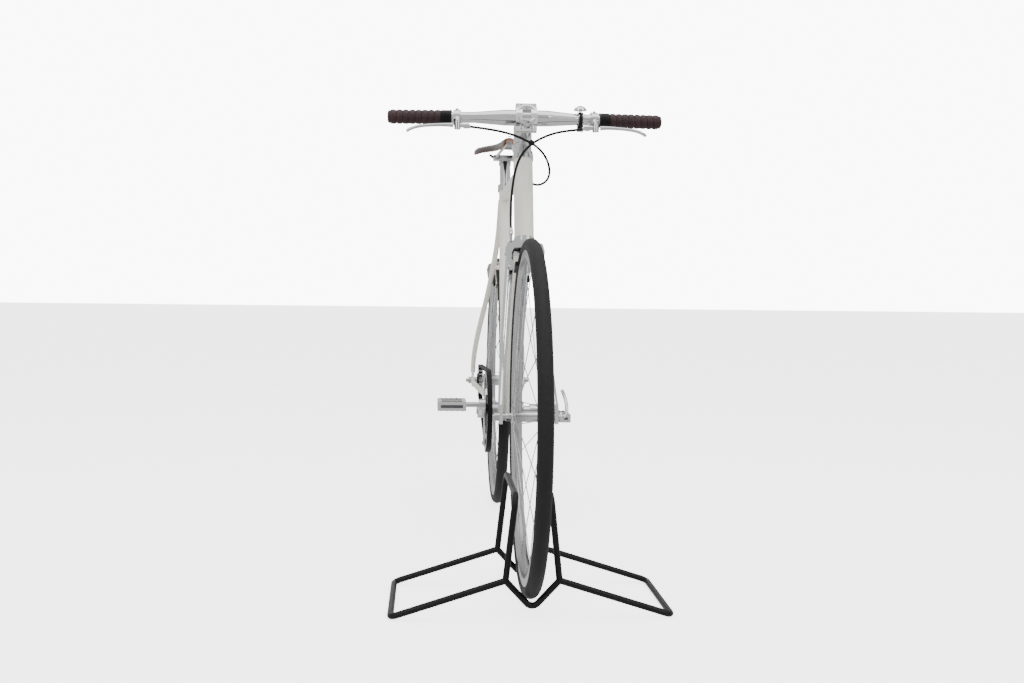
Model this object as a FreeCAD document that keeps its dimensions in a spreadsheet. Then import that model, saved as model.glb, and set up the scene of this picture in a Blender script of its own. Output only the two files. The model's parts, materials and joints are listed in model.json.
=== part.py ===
"""City bicycle with a belt drive, held upright by a low floor stand round its front wheel.

X points forwards, Y to the rider's left and Z up.  The origin lies on the floor halfway
between the two axles.  All lengths are millimetres and all angles are degrees.
"""
import FreeCAD
import Part
import Sketcher
import math
import os

Vector = FreeCAD.Vector
Placement = FreeCAD.Placement
Rotation = FreeCAD.Rotation

X_AXIS = Vector(1, 0, 0)
Y_AXIS = Vector(0, 1, 0)
Z_AXIS = Vector(0, 0, 1)
SIDES = {"left": 1, "right": -1}

DRIVING_SIZES = {
    # layout of the whole bicycle
    "wheelbase": 1018,
    "front_lift": 15,
    "head_angle": 72.5,
    "fork_rake": 45,
    "seat_angle": 72.7,
    "bracket_height": 300,
    "chain_stay_length": 425.3,
    # wheels
    "tyre_radius": 339,
    "tyre_width": 28,
    "rim_outer_radius": 317,
    "rim_inner_radius": 296,
    "rim_wall_radius": 302,
    "rim_width": 22,
    "rim_nose_width": 10,
    "spoke_radius": 0.9,
    "spoke_flange_offset": 2.0,
    "spoke_rim_offset": 1.3,
    "rim_hole_offset": 3,
    "flange_thickness": 3,
    "front_flange_place": 30,
    "front_flange_radius": 19.5,
    "front_barrel_radius": 10,
    "front_hub_end": 44,
    "front_axle_radius": 4.5,
    "rear_flange_place": 31.5,
    "rear_flange_radius": 24,
    "rear_barrel_radius": 14.5,
    "rear_hub_left_end": 58,
    "rear_hub_right_end": 38,
    "rear_axle_radius": 5,
    "running_gap": 0.15,
    # fork, measured down the steering axis from the crown or across it
    "crown_bottom": 343,
    "crown_race": 363,
    "crown_half_width": 39,
    "crown_depth": 28,
    "blade_spread_top": 29,
    "blade_spread_low": 53,
    "fork_inner_half": 50,
    "dropout_thickness": 6,
    "steerer_radius": 14.3,
    "steerer_top": 619,
    # head tube, headset and stem along the steering axis
    "head_tube_low": 375,
    "head_tube_top": 545,
    "head_tube_radius": 20,
    "head_tube_bore": 17,
    "cup_radius": 21.5,
    "upper_cup_top": 556,
    "spacer_radius": 17.5,
    "stem_low": 580,
    "stem_middle": 600,
    "stem_clamp_radius": 19,
    "stem_reach": 85,
    "stem_arm_radius": 15,
    "stem_arm_end": 68,
    "bar_clamp_radius": 22,
    "bar_clamp_half_width": 21,
    "faceplate_gap": 1.5,
    "top_cap_radius": 16,
    "top_cap_height": 6,
    # handlebar and what it carries
    "bar_half_width": 276,
    "bar_centre_radius": 15.9,
    "bar_end_radius": 11.1,
    "bar_centre_half": 42,
    "bar_taper_length": 62,
    "bar_sweep": 5,
    "grip_radius": 14.6,
    "grip_length": 128,
    "lever_clamp_radius": 15,
    "lever_clamp_width": 14,
    "lever_clamp_place": 96,
    "bell_place": 68,
    "bell_radius": 13,
    # frame tubes
    "top_tube_radius": 14.3,
    "down_tube_radius": 16,
    "seat_tube_radius": 16,
    "seat_tube_bore": 13.7,
    "seat_tube_top": 856,
    "bracket_radius": 20,
    "bracket_half_width": 34,
    "bracket_cup_end": 39,
    "rear_inner_half": 65,
    # seat
    "seatpost_radius": 13.6,
    "seatpost_low": 760,
    "seatpost_top": 916,
    "rail_radius": 3.5,
    "rail_half_gauge": 22,
    "rail_height": 929,
    # drive
    "belt_line": 47,
    "belt_width": 12,
    "belt_pitch": 11,
    "front_teeth": 56,
    "rear_teeth": 24,
    "belt_inside": 1.2,
    "belt_thickness": 3.1,
    "sprocket_gap": 0.4,
    "ring_inner_radius": 82,
    "spider_radius": 90,
    "spider_thickness": 4,
    "carrier_radius": 20,
    "spindle_radius": 12,
    "crank_length": 170,
    "crank_rise": 11,
    "crank_inner": 54,
    "crank_outer": 72,
    "crank_eye_inner": 62,
    "crank_eye_outer": 76,
    "crank_boss_radius": 17,
    "crank_eye_radius": 12.5,
    "crank_arm_half_height": 11,
    "pedal_inner": 106,
    "pedal_outer": 170,
    "pedal_length": 92,
    "pedal_height": 20,
    "pedal_rail": 9,
    "pedal_axle_radius": 6,
    "pedal_barrel_radius": 10,
    # brakes, in a frame whose height runs from the axle to the brake bolt
    "brake_bolt_height": 354,
    "brake_thickness": 8,
    "brake_bolt_radius": 3,
    "pad_height": 306.5,
    "pad_inner": 16,
    "pad_depth": 6,
    "pad_length": 46,
    "pad_width": 9,
    "housing_radius": 2.5,
    # floor stand
    "stand_tube_radius": 6,
    "stand_half_length": 125,
    "stand_half_width": 256,
    "stand_cradle_height": 19,
    "stand_joint_half": 49,
    "stand_joint_height": 71,
    "stand_hoop_half": 32,
    "stand_hoop_height": 225,
}


class Size:
    """A length or angle together with the sheet formula that gives it."""

    def __init__(self, value, formula):
        self.value = float(value)
        self.formula = formula

    def __float__(self):
        return self.value

    def joined(self, other, sign, value, swapped=False):
        """The result of one sum, with both formulas written round the sign."""
        text = other.formula if isinstance(other, Size) else repr(other)
        first, second = (text, self.formula) if swapped else (self.formula, text)
        return Size(value, f"({first} {sign} {second})")

    def __add__(self, other):
        return self.joined(other, "+", self.value + float(other))

    def __radd__(self, other):
        return self.joined(other, "+", float(other) + self.value, True)

    def __sub__(self, other):
        return self.joined(other, "-", self.value - float(other))

    def __rsub__(self, other):
        return self.joined(other, "-", float(other) - self.value, True)

    def __mul__(self, other):
        return self.joined(other, "*", self.value * float(other))

    def __rmul__(self, other):
        return self.joined(other, "*", float(other) * self.value, True)

    def __truediv__(self, other):
        return self.joined(other, "/", self.value / float(other))

    def __neg__(self):
        return Size(-self.value, f"(-{self.formula})")


class Sizes:
    """The driving dimensions, one attribute for each alias of the sheet."""


def make_sheet(document):
    """Write the driving dimensions into the sheet and give them back by name."""
    sheet = document.addObject("Spreadsheet::Sheet", "Sizes")
    sizes = Sizes()
    for row, (alias, value) in enumerate(DRIVING_SIZES.items(), start=1):
        sheet.set(f"A{row}", alias)
        sheet.set(f"B{row}", str(value))
        sheet.setAlias(f"B{row}", alias)
        setattr(sizes, alias, Size(value, f"Sizes.{alias}"))
    document.recompute()
    return sizes


doc = FreeCAD.newDocument("CityBike")
S = make_sheet(doc)
subparts = []


# ---- building helpers ------------------------------------------------------------------

def keep(item, label):
    """Name a finished object after its node and put it on the list to write."""
    item.Label = label
    subparts.append(item)
    return item


def bind(item, path, size):
    """Tie one property of an object to the sheet."""
    if isinstance(size, Size):
        item.setExpression(path, size.formula)


def origin_plane(body, role):
    """One of the body's own base planes."""
    return next(plane for plane in body.Origin.OriginFeatures if plane.Role == role)


def new_sketch(body, role, lift=0):
    """A sketch on a base plane of the body, raised along the plane's normal."""
    sketch = body.newObject("Sketcher::SketchObject", body.Name + "Outline")
    sketch.AttachmentSupport = [(origin_plane(body, role), "")]
    sketch.MapMode = "FlatFace"
    sketch.AttachmentOffset = Placement(Vector(0, 0, float(lift)), Rotation())
    bind(sketch, "AttachmentOffset.Base.z", lift)
    return sketch


def hold_distance(sketch, kind, line, end, size):
    """Fix one coordinate of a line's end, measured from the sketch's origin."""
    index = sketch.addConstraint(Sketcher.Constraint(kind, -1, 1, line, end, float(size)))
    bind(sketch, f"Constraints[{index}]", size)


def draw_outline(sketch, corners):
    """A closed outline of straight lines whose corners are all tied to the sheet."""
    points = [Vector(float(across), float(up), 0) for across, up in corners]
    count = len(points)
    first = sketch.GeometryCount
    for index in range(count):
        sketch.addGeometry(Part.LineSegment(points[index], points[(index + 1) % count]))
    for index, (across, up) in enumerate(corners):
        following = first + (index + 1) % count
        sketch.addConstraint(Sketcher.Constraint("Coincident", first + index, 2, following, 1))
        hold_distance(sketch, "DistanceX", first + index, 1, across)
        hold_distance(sketch, "DistanceY", first + index, 1, up)


def turned(name, outline, base, direction=Y_AXIS):
    """A body of revolution.  The outline is (radius, place along the axis) pairs."""
    body = doc.addObject("PartDesign::Body", name)
    sketch = new_sketch(body, "XY_Plane")
    draw_outline(sketch, outline)
    feature = body.newObject("PartDesign::Revolution", name + "Turn")
    feature.Profile = sketch
    feature.ReferenceAxis = (sketch, ["V_Axis"])
    feature.Angle = 360
    sketch.Visibility = False
    body.Placement = Placement(base, Rotation(Y_AXIS, direction))
    return body


def padded(name, outline, role, start, thickness, placement=None):
    """A flat outline made thick along its plane's normal, from the height start."""
    body = doc.addObject("PartDesign::Body", name)
    sketch = new_sketch(body, role, start)
    draw_outline(sketch, outline)
    feature = body.newObject("PartDesign::Pad", name + "Pad")
    feature.Profile = sketch
    feature.Length = float(thickness)
    bind(feature, "Length", thickness)
    sketch.Visibility = False
    if placement:
        body.Placement = placement
    return body


def rod(name, radius, length, base, direction):
    """A round bar from base along direction."""
    item = doc.addObject("Part::Cylinder", name)
    item.Radius = float(radius)
    item.Height = float(length)
    bind(item, "Radius", radius)
    bind(item, "Height", length)
    item.Placement = Placement(base, Rotation(Z_AXIS, direction))
    return item


def rod_between(name, radius, start, end):
    """A round bar from one point to another."""
    return rod(name, radius, (end - start).Length, start, end - start)


def block(name, low, high, placement=None):
    """A box between two corners, moved as a whole by the placement."""
    item = doc.addObject("Part::Box", name)
    item.Length, item.Width, item.Height = (high - low)
    item.Placement = (placement or Placement()).multiply(Placement(low, Rotation()))
    return item


def fused(name, items):
    """Several objects joined into one."""
    item = doc.addObject("Part::MultiFuse", name)
    item.Shapes = items
    item.Refine = True
    return item


def cut(name, base, tools):
    """One object with the others taken away from it."""
    for index, tool in enumerate(tools):
        item = doc.addObject("Part::Cut", f"{name}Cut{index}")
        item.Base = base
        item.Tool = tool
        item.Refine = True
        base = item
    return base


def group(name, items):
    """Like pieces that share a node and do not touch."""
    item = doc.addObject("Part::Compound", name)
    item.Links = items
    return item


def shaped(name, shape):
    """An object whose shape is made from curves directly."""
    item = doc.addObject("Part::Feature", name)
    item.Shape = shape
    return item


def oval(centre, normal, half_across, half_along, across=Y_AXIS):
    """A closed oval wire.  half_across is measured along the direction across."""
    along = normal.cross(across).normalize()
    side = along.cross(normal).normalize()
    if half_across >= half_along:
        curve = Part.Ellipse(centre + side * half_across, centre + along * half_along, centre)
    else:
        curve = Part.Ellipse(centre + along * half_along, centre + side * half_across, centre)
    return Part.Wire(curve.toShape())


def circle(centre, normal, radius):
    """A closed round wire that starts on the same side whichever way it faces."""
    along = normal.cross(Y_AXIS)
    if along.Length < 0.5 * normal.Length:
        along = normal.cross(Z_AXIS)
    along.normalize()
    side = along.cross(normal).normalize()
    ring = Part.Circle(centre + side * radius, centre + along * radius, centre - side * radius)
    return Part.Wire(ring.toShape())


def tangents(points):
    """The direction of a smooth line at each of its points."""
    last = len(points) - 1
    found = []
    for index in range(last + 1):
        ahead = points[min(index + 1, last)]
        behind = points[max(index - 1, 0)]
        found.append((ahead - behind).normalize())
    return found


def tapered_tube(points, radii):
    """A round tube through the points with its own radius at each of them."""
    directions = tangents(points)
    rings = [circle(point, way, radius) for point, way, radius in zip(points, directions, radii)]
    return Part.makeLoft(rings, True, False)


def bent_path(points, radius_at):
    """Straight runs joined by tangent arcs.  radius_at gives the arc at each inner point."""
    edges = []
    start = points[0]
    for index in range(1, len(points) - 1):
        corner = points[index]
        back = (points[index - 1] - corner)
        ahead = (points[index + 1] - corner)
        shorter = min(back.Length, ahead.Length)
        back.normalize()
        ahead.normalize()
        turn = math.pi - back.getAngle(ahead)
        radius = radius_at(shorter, turn)
        reach = radius * math.tan(turn / 2)
        enter = corner + back * reach
        leave = corner + ahead * reach
        inward = (back + ahead).normalize()
        middle = corner + inward * (radius / math.cos(turn / 2) - radius)
        edges.append(Part.LineSegment(start, enter).toShape())
        edges.append(Part.Arc(enter, middle, leave).toShape())
        start = leave
    edges.append(Part.LineSegment(start, points[-1]).toShape())
    return Part.Wire(edges)


def swept(path, radius, points):
    """A round bar that follows a path."""
    profile = circle(points[0], points[1] - points[0], radius)
    return path.makePipeShell([profile], True, False)


def bent_bar(points, radius, bend_radius):
    """A bar bent to one radius at every corner."""
    path = bent_path(points, lambda shorter, turn: bend_radius)
    return swept(path, radius, points)


def housing(label, points):
    """A brake housing, whose arcs are as large as its runs allow."""
    fill = 0.45
    radii = []

    def widest(shorter, turn):
        radii.append(fill * shorter / math.tan(turn / 2))
        return radii[-1]

    radius = float(S.housing_radius)
    path = bent_path(points, widest)
    shape = swept(path, radius, points)
    volume = math.pi * radius ** 2 * path.Length
    print(label, "arc radii", [round(value) for value in radii], "length", round(path.Length, 1),
          "volume ratio", round(shape.Volume / volume, 4))
    return keep(shaped(label, shape), label)


# ---- places that many pieces share -----------------------------------------------------

HALF_BASE = float(S.wheelbase) / 2
REAR_AXLE = Vector(-HALF_BASE, 0, float(S.tyre_radius))
FRONT_AXLE = Vector(HALF_BASE, 0, float(S.tyre_radius + S.front_lift))

STEER_TURN = Rotation(Y_AXIS, float(S.head_angle) - 90)
STEER_UP = STEER_TURN.multVec(Z_AXIS)
STEER_FORWARD = STEER_TURN.multVec(X_AXIS)
STEER_BASE = FRONT_AXLE - STEER_FORWARD * float(S.fork_rake)
STEER_FRAME = Placement(STEER_BASE, STEER_TURN)

BRACKET_DROP = float(S.tyre_radius - S.bracket_height)
BRACKET = REAR_AXLE + Vector(math.sqrt(float(S.chain_stay_length) ** 2 - BRACKET_DROP ** 2), 0, -BRACKET_DROP)

SEAT_UP = Vector(-math.cos(math.radians(float(S.seat_angle))), 0, math.sin(math.radians(float(S.seat_angle))))

CRANK_WAY = Vector(math.cos(math.radians(float(S.crank_rise))), 0, math.sin(math.radians(float(S.crank_rise))))

BAR_MIDDLE = STEER_BASE + STEER_UP * float(S.stem_middle) + STEER_FORWARD * float(S.stem_reach)


def on_steerer(along, forward=0, side=0):
    """A point given along the steering axis, ahead of it and to its left."""
    return STEER_BASE + STEER_UP * float(along) + STEER_FORWARD * float(forward) + Y_AXIS * float(side)


def on_seat_line(height):
    """The point of the seat tube's centre line at a height above the floor."""
    return BRACKET + SEAT_UP * ((float(height) - BRACKET.z) / SEAT_UP.z)


def bar_direction(side):
    """Where one half of the handlebar points, from its middle outwards."""
    sweep = math.radians(float(S.bar_sweep))
    return Vector(-math.sin(sweep), side * math.cos(sweep), 0)


def on_bar(side, along):
    """A point on the swept half of the handlebar, measured from its bend."""
    bend = BAR_MIDDLE + Y_AXIS * (side * float(S.bar_centre_half))
    return bend + bar_direction(side) * float(along)


def both_sides(name, make):
    """A left and a right piece that share a node."""
    return group(name, [make(name + label.title(), side) for label, side in SIDES.items()])


# ---- wheels ----------------------------------------------------------------------------

def tyre(label, axle):
    """A round tyre section with a flat seat on the rim."""
    body = doc.addObject("PartDesign::Body", label.title())
    sketch = new_sketch(body, "XY_Plane")
    section = S.tyre_width / 2
    middle = S.tyre_radius - section
    opening = math.acos(float(S.rim_outer_radius - middle) / float(section))
    ring = Part.Circle(Vector(float(middle), 0, 0), Z_AXIS, float(section))
    low = ring.value(-opening)
    high = ring.value(opening)
    sketch.addGeometry(Part.ArcOfCircle(ring, -opening, opening))
    sketch.addGeometry(Part.LineSegment(high, low))
    sketch.addConstraint(Sketcher.Constraint("Coincident", 0, 2, 1, 1))
    sketch.addConstraint(Sketcher.Constraint("Coincident", 1, 2, 0, 1))
    sketch.addConstraint(Sketcher.Constraint("PointOnObject", 0, 3, -1))
    sketch.addConstraint(Sketcher.Constraint("Vertical", 1))
    hold_distance(sketch, "DistanceX", 0, 3, middle)
    hold_distance(sketch, "DistanceX", 1, 1, S.rim_outer_radius)
    index = sketch.addConstraint(Sketcher.Constraint("Radius", 0, float(section)))
    bind(sketch, f"Constraints[{index}]", section)
    feature = body.newObject("PartDesign::Revolution", label + "Turn")
    feature.Profile = sketch
    feature.ReferenceAxis = (sketch, ["V_Axis"])
    feature.Angle = 360
    sketch.Visibility = False
    body.Placement = Placement(axle, Rotation())
    keep(body, label)


def rim(label, axle):
    """A box section rim with a narrower inner face."""
    wall = S.rim_width / 2
    nose = S.rim_nose_width / 2
    outline = [
        (S.rim_inner_radius, -nose),
        (S.rim_wall_radius, -wall),
        (S.rim_outer_radius, -wall),
        (S.rim_outer_radius, wall),
        (S.rim_wall_radius, wall),
        (S.rim_inner_radius, nose),
    ]
    keep(turned(label.title(), outline, axle), label)


def spokes(label, axle, flange_radius, flange_place):
    """Thirty-two spokes, sixteen a side, each crossing three others of its side."""
    count = 32
    crossings = 3
    inset = 2.5
    hub_radius = float(flange_radius) - inset
    rim_radius = float(S.rim_inner_radius) + inset
    swing = crossings * 4 * math.pi / count
    wires = []
    for side in (1, -1):
        for index in range(count // 2):
            lean = 1 if index % 2 else -1
            at_hub = index * 4 * math.pi / count + (math.pi / count if side < 0 else 0)
            at_rim = at_hub + lean * swing
            hub_side = side * float(flange_place) + lean * float(S.spoke_flange_offset)
            rim_side = side * float(S.rim_hole_offset) + lean * float(S.spoke_rim_offset)
            start = Vector(hub_radius * math.cos(at_hub), hub_side, hub_radius * math.sin(at_hub))
            end = Vector(rim_radius * math.cos(at_rim), rim_side, rim_radius * math.sin(at_rim))
            wire = Part.makeCylinder(float(S.spoke_radius), (end - start).Length, start, end - start)
            wires.append(wire)
    item = shaped(label.title(), Part.makeCompound(wires))
    item.Placement = Placement(axle, Rotation())
    keep(item, label)


def front_hub():
    """A slim turned barrel between two flanges."""
    bore = S.front_axle_radius + S.running_gap
    end = S.front_hub_end
    place = S.front_flange_place
    half = S.flange_thickness / 2
    neck = S.front_barrel_radius - 2
    outline = [
        (bore, -end),
        (neck, -end),
        (neck, -place - half - 2),
        (S.front_flange_radius, -place - half),
        (S.front_flange_radius, -place + half),
        (S.front_barrel_radius, -place + half + 3),
        (S.front_barrel_radius, place - half - 3),
        (S.front_flange_radius, place - half),
        (S.front_flange_radius, place + half),
        (neck, place + half + 2),
        (neck, end),
        (bore, end),
    ]
    keep(turned("FrontHub", outline, FRONT_AXLE), "front_hub")


def rear_hub():
    """A slim barrel that reaches further out on the left than on the drive side."""
    bore = S.rear_axle_radius + S.running_gap
    place = S.rear_flange_place
    half = S.flange_thickness / 2
    neck = S.rear_barrel_radius - 2
    outline = [
        (bore, -S.rear_hub_right_end),
        (S.rear_barrel_radius, -S.rear_hub_right_end),
        (S.rear_barrel_radius, -place - half - 2),
        (S.rear_flange_radius, -place - half),
        (S.rear_flange_radius, -place + half),
        (S.rear_barrel_radius, -place + half + 3),
        (S.rear_barrel_radius, place - half - 3),
        (S.rear_flange_radius, place - half),
        (S.rear_flange_radius, place + half),
        (neck, place + half + 2),
        (neck, S.rear_hub_left_end),
        (bore, S.rear_hub_left_end),
    ]
    keep(turned("RearHub", outline, REAR_AXLE), "rear_hub")


def axle(label, base, radius, inner_half, hub_right, hub_left, nut_radius, nut_width, tip):
    """A threaded axle with a cone against the hub and a nut outside each dropout."""
    outside = inner_half + S.dropout_thickness
    cone = nut_radius - 1
    gap = 1
    outline = [(0, -outside - nut_width - tip)]
    outline += [(radius, -outside - nut_width - tip), (radius, -outside - nut_width)]
    outline += [(nut_radius, -outside - nut_width), (nut_radius, -outside)]
    outline += [(radius, -outside), (radius, -inner_half), (cone, -inner_half)]
    outline += [(cone, -hub_right - gap), (radius, -hub_right - gap)]
    outline += [(radius, hub_left + gap), (cone, hub_left + gap)]
    outline += [(cone, inner_half), (radius, inner_half), (radius, outside)]
    outline += [(nut_radius, outside), (nut_radius, outside + nut_width)]
    outline += [(radius, outside + nut_width), (radius, outside + nut_width + tip)]
    outline += [(0, outside + nut_width + tip)]
    keep(turned(label.title(), outline, base), label)


# ---- fork ------------------------------------------------------------------------------

def fork_crown():
    """The crown with sloping shoulders, and the steerer that stands in it."""
    low = S.crown_bottom
    wide = S.crown_half_width
    shoulder = 9
    outline = [
        (-wide, low),
        (wide, low),
        (wide, low + shoulder),
        (S.steerer_radius + 4, S.crown_race),
        (-S.steerer_radius - 4, S.crown_race),
        (-wide, low + shoulder),
    ]
    crown = padded("CrownBody", outline, "YZ_Plane", -S.crown_depth / 2, S.crown_depth, STEER_FRAME)
    length = S.steerer_top - S.crown_bottom - shoulder
    steerer = rod("Steerer", S.steerer_radius, length, on_steerer(float(low) + shoulder), STEER_UP)
    keep(fused("ForkCrown", [crown, steerer]), "fork_crown")


def blade(name, side):
    """One fork blade, oval at the crown, round and curved forwards at its foot."""
    foot_drop = 12
    top = float(S.crown_bottom)
    rake = float(S.fork_rake)
    spread_top = float(S.blade_spread_top)
    spread_low = float(S.blade_spread_low)
    stations = [
        # share of the way down, forward offset, half width across, half width fore and aft
        (0.0, 0.0, 8.5, 12.0),
        (0.25, 0.0, 8.2, 11.2),
        (0.5, 1.5, 7.6, 10.0),
        (0.7, 9.0, 7.0, 8.6),
        (0.86, 24.0, 6.4, 7.2),
        (1.0, rake - 2.0, 5.6, 6.0),
    ]
    points = []
    for share, forward, _, _ in stations:
        along = top + (foot_drop - top) * share
        spread = spread_top + (spread_low - spread_top) * share
        points.append(on_steerer(along, forward, side * spread))
    rings = []
    for point, way, station in zip(points, tangents(points), stations):
        rings.append(oval(point, way, station[2], station[3]))
    return shaped(name, Part.makeLoft(rings, True, False))


def fork_dropout(name, side):
    """The flat plate at the foot of a blade, slotted for the axle."""
    half = 13.0
    top = 24.0
    start = S.fork_inner_half if side > 0 else -S.fork_inner_half - S.dropout_thickness
    outline = [(-half, -half + 3), (half - 3, -half), (half, half), (half - 4, top), (-half, top)]
    turn = Rotation(X_AXIS, 90)
    base = FRONT_AXLE + Y_AXIS * (float(start) + float(S.dropout_thickness))
    frame = Placement(base, turn)
    plate = padded(name + "Plate", outline, "XY_Plane", 0, S.dropout_thickness, frame)
    reach = 60.0
    slot = rod(name + "Slot", S.front_axle_radius + S.running_gap, reach, FRONT_AXLE - Y_AXIS * reach / 2, Y_AXIS)
    slot.Placement.Base = Vector(FRONT_AXLE.x, base.y - reach / 2, FRONT_AXLE.z)
    return cut(name, plate, [slot])


def fork():
    """Crown, blades and dropouts of the fork."""
    fork_crown()
    dropouts = both_sides("ForkDropout", fork_dropout)
    keep(dropouts, "fork_dropouts")
    blades = both_sides("ForkBlade", blade)
    keep(cut("ForkBlades", blades, [dropouts]), "fork_blades")


# ---- headset, stem and handlebar -------------------------------------------------------

def ring_on_steerer(name, inner, outer, low, high):
    """A plain ring round the steering axis."""
    outline = [(inner, low), (outer, low), (outer, high), (inner, high)]
    return turned(name, outline, STEER_BASE, STEER_UP)


def headset():
    """Cups pressed into the head tube, with the spacers and the cap above them."""
    bore = S.steerer_radius + 0.1
    lower = ring_on_steerer("LowerCup", bore, S.cup_radius, S.crown_race + 0.5, S.head_tube_low)
    upper = ring_on_steerer("UpperCup", bore, S.cup_radius, S.head_tube_top, S.upper_cup_top)
    keep(group("HeadsetCups", [lower, upper]), "headset_cups")
    spacers = ring_on_steerer("Spacers", bore, S.spacer_radius, S.upper_cup_top + 0.5, S.stem_low)
    keep(spacers, "headset_spacers")
    top = S.stem_middle + (S.stem_middle - S.stem_low)
    cap_outline = [
        (0, top),
        (S.top_cap_radius, top),
        (S.top_cap_radius - 2, top + S.top_cap_height),
        (0, top + S.top_cap_height),
    ]
    keep(turned("TopCap", cap_outline, STEER_BASE, STEER_UP), "headset_top_cap")


def clamp_ring(name, front_half):
    """Half of the ring that holds the bar, cut on the line of the bolts."""
    half = float(S.bar_clamp_half_width)
    reach = float(S.stem_reach)
    radius = float(S.bar_clamp_radius)
    ear = 7.0
    ear_half_height = radius + ear
    ring = rod(name + "Ring", S.bar_clamp_radius, S.bar_clamp_half_width * 2, BAR_MIDDLE - Y_AXIS * half, Y_AXIS)
    ears = block(
        name + "Ears",
        Vector(reach - ear, -half, float(S.stem_middle) - ear_half_height),
        Vector(reach + ear, half, float(S.stem_middle) + ear_half_height),
        STEER_FRAME,
    )
    solid = fused(name + "Solid", [ring, ears])
    gap = float(S.faceplate_gap)
    low = reach - radius - 1 if front_half else reach - gap / 2
    high = reach + gap / 2 if front_half else reach + radius + 1
    away = block(
        name + "Away",
        Vector(low, -half - 1, float(S.stem_middle) - ear_half_height - 1),
        Vector(high, half + 1, float(S.stem_middle) + ear_half_height + 1),
        STEER_FRAME,
    )
    bore = rod(name + "Bore", S.bar_centre_radius, S.bar_clamp_half_width * 2 + 4, BAR_MIDDLE - Y_AXIS * (half + 2), Y_AXIS)
    return cut(name, solid, [away, bore])


def stem():
    """The stem's steerer clamp and arm with its half of the bar clamp, and the faceplate."""
    clamp = rod("StemClamp", S.stem_clamp_radius, (S.stem_middle - S.stem_low) * 2, on_steerer(S.stem_low), STEER_UP)
    arm = rod("StemArm", S.stem_arm_radius, S.stem_arm_end, on_steerer(S.stem_middle), STEER_FORWARD)
    rear_half = clamp_ring("ClampRear", False)
    bore = rod("StemBore", S.steerer_radius, (S.stem_middle - S.stem_low) * 2 + 4, on_steerer(float(S.stem_low) - 2), STEER_UP)
    body = fused("StemSolid", [clamp, arm, rear_half])
    keep(cut("Stem", body, [bore]), "stem")
    face = clamp_ring("ClampFront", True)
    window = block(
        "Window",
        Vector(float(S.stem_reach), -9, float(S.stem_middle) - 10),
        Vector(float(S.stem_reach) + 40, 9, float(S.stem_middle) + 10),
        STEER_FRAME,
    )
    keep(cut("Faceplate", face, [window]), "stem_faceplate")


def bar_half(name, side):
    """The tapering and the slim stretch of one half of the handlebar."""
    way = bar_direction(side)
    cone = doc.addObject("Part::Cone", name + "Taper")
    bind(cone, "Radius1", S.bar_centre_radius)
    bind(cone, "Radius2", S.bar_end_radius)
    bind(cone, "Height", S.bar_taper_length)
    cone.Placement = Placement(on_bar(side, 0), Rotation(Z_AXIS, way))
    straight = (float(S.bar_half_width) - float(S.bar_centre_half)) / math.cos(math.radians(float(S.bar_sweep)))
    outer = rod_between(name + "Outer", S.bar_end_radius, on_bar(side, S.bar_taper_length), on_bar(side, straight))
    knuckle = doc.addObject("Part::Sphere", name + "Knuckle")
    bind(knuckle, "Radius", S.bar_centre_radius)
    knuckle.Placement = Placement(on_bar(side, 0), Rotation())
    return fused(name, [cone, outer, knuckle])


def handlebar():
    """A flat bar, thick at the stem and slim at the grips."""
    middle = rod_between("BarMiddle", S.bar_centre_radius, on_bar(-1, 0), on_bar(1, 0))
    halves = [bar_half("Bar" + label.title(), side) for label, side in SIDES.items()]
    keep(fused("Handlebar", [middle] + halves), "handlebar")


def bar_sleeve(name, side, radius, start, end):
    """A sleeve round the slim part of the bar."""
    outer = rod_between(name + "Outer", radius, on_bar(side, start), on_bar(side, end))
    bore = rod_between(name + "Bore", S.bar_end_radius + 0.05, on_bar(side, start - 1), on_bar(side, end + 1))
    return cut(name, outer, [bore])


def grips():
    """A grip over each end of the bar."""
    end = (float(S.bar_half_width) - float(S.bar_centre_half)) / math.cos(math.radians(float(S.bar_sweep)))
    for label, side in SIDES.items():
        sleeve = bar_sleeve("Grip" + label.title(), side, S.grip_radius, end - float(S.grip_length), end - 0.5)
        keep(sleeve, "grip_" + label)


def lever_clamp(name, side):
    """The ring round the bar and the bracket that carries the lever's pivot."""
    place = float(S.lever_clamp_place)
    half = float(S.lever_clamp_width) / 2
    ring = rod_between(name + "Ring", S.lever_clamp_radius, on_bar(side, place - half), on_bar(side, place + half))
    pivot = lever_pivot(side)
    foot = on_bar(side, place) + Vector(10, 0, -6)
    bracket = shaped(name + "Bracket", tapered_tube([foot, (foot + pivot) / 2, pivot], [8, 7.5, 7]))
    boss = rod(name + "Boss", 6.5, 16, pivot - Z_AXIS * 8, Z_AXIS)
    barrel = rod_between(name + "Barrel", 4.5, pivot - Y_AXIS * side * 4, pivot - Y_AXIS * side * 24)
    solid = fused(name + "Solid", [ring, bracket, boss, barrel])
    bore = rod_between(name + "Bore", S.bar_end_radius + 0.05, on_bar(side, place - 30), on_bar(side, place + 30))
    return cut(name, solid, [bore])


def lever_pivot(side):
    """Where a brake lever turns, ahead of the bar and below it."""
    return on_bar(side, S.lever_clamp_place) + Vector(30, 0, -20)


def lever_blade(name, side):
    """A flat blade that reaches outwards and curls down at its tip."""
    pivot = lever_pivot(side)
    stations = [
        # outwards, forwards, upwards, half width, half thickness
        (9, 0, 0, 6.0, 4.5),
        (28, 4, 0, 6.0, 3.6),
        (55, 8, -2, 6.5, 3.2),
        (82, 8, -6, 6.5, 3.2),
        (100, 5, -14, 5.5, 3.0),
    ]
    points = [pivot + Vector(forward, side * out, up) for out, forward, up, _, _ in stations]
    rings = []
    for point, way, station in zip(points, tangents(points), stations):
        rings.append(oval(point, way, station[3], station[4], X_AXIS))
    return shaped(name, Part.makeLoft(rings, True, False))


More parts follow.
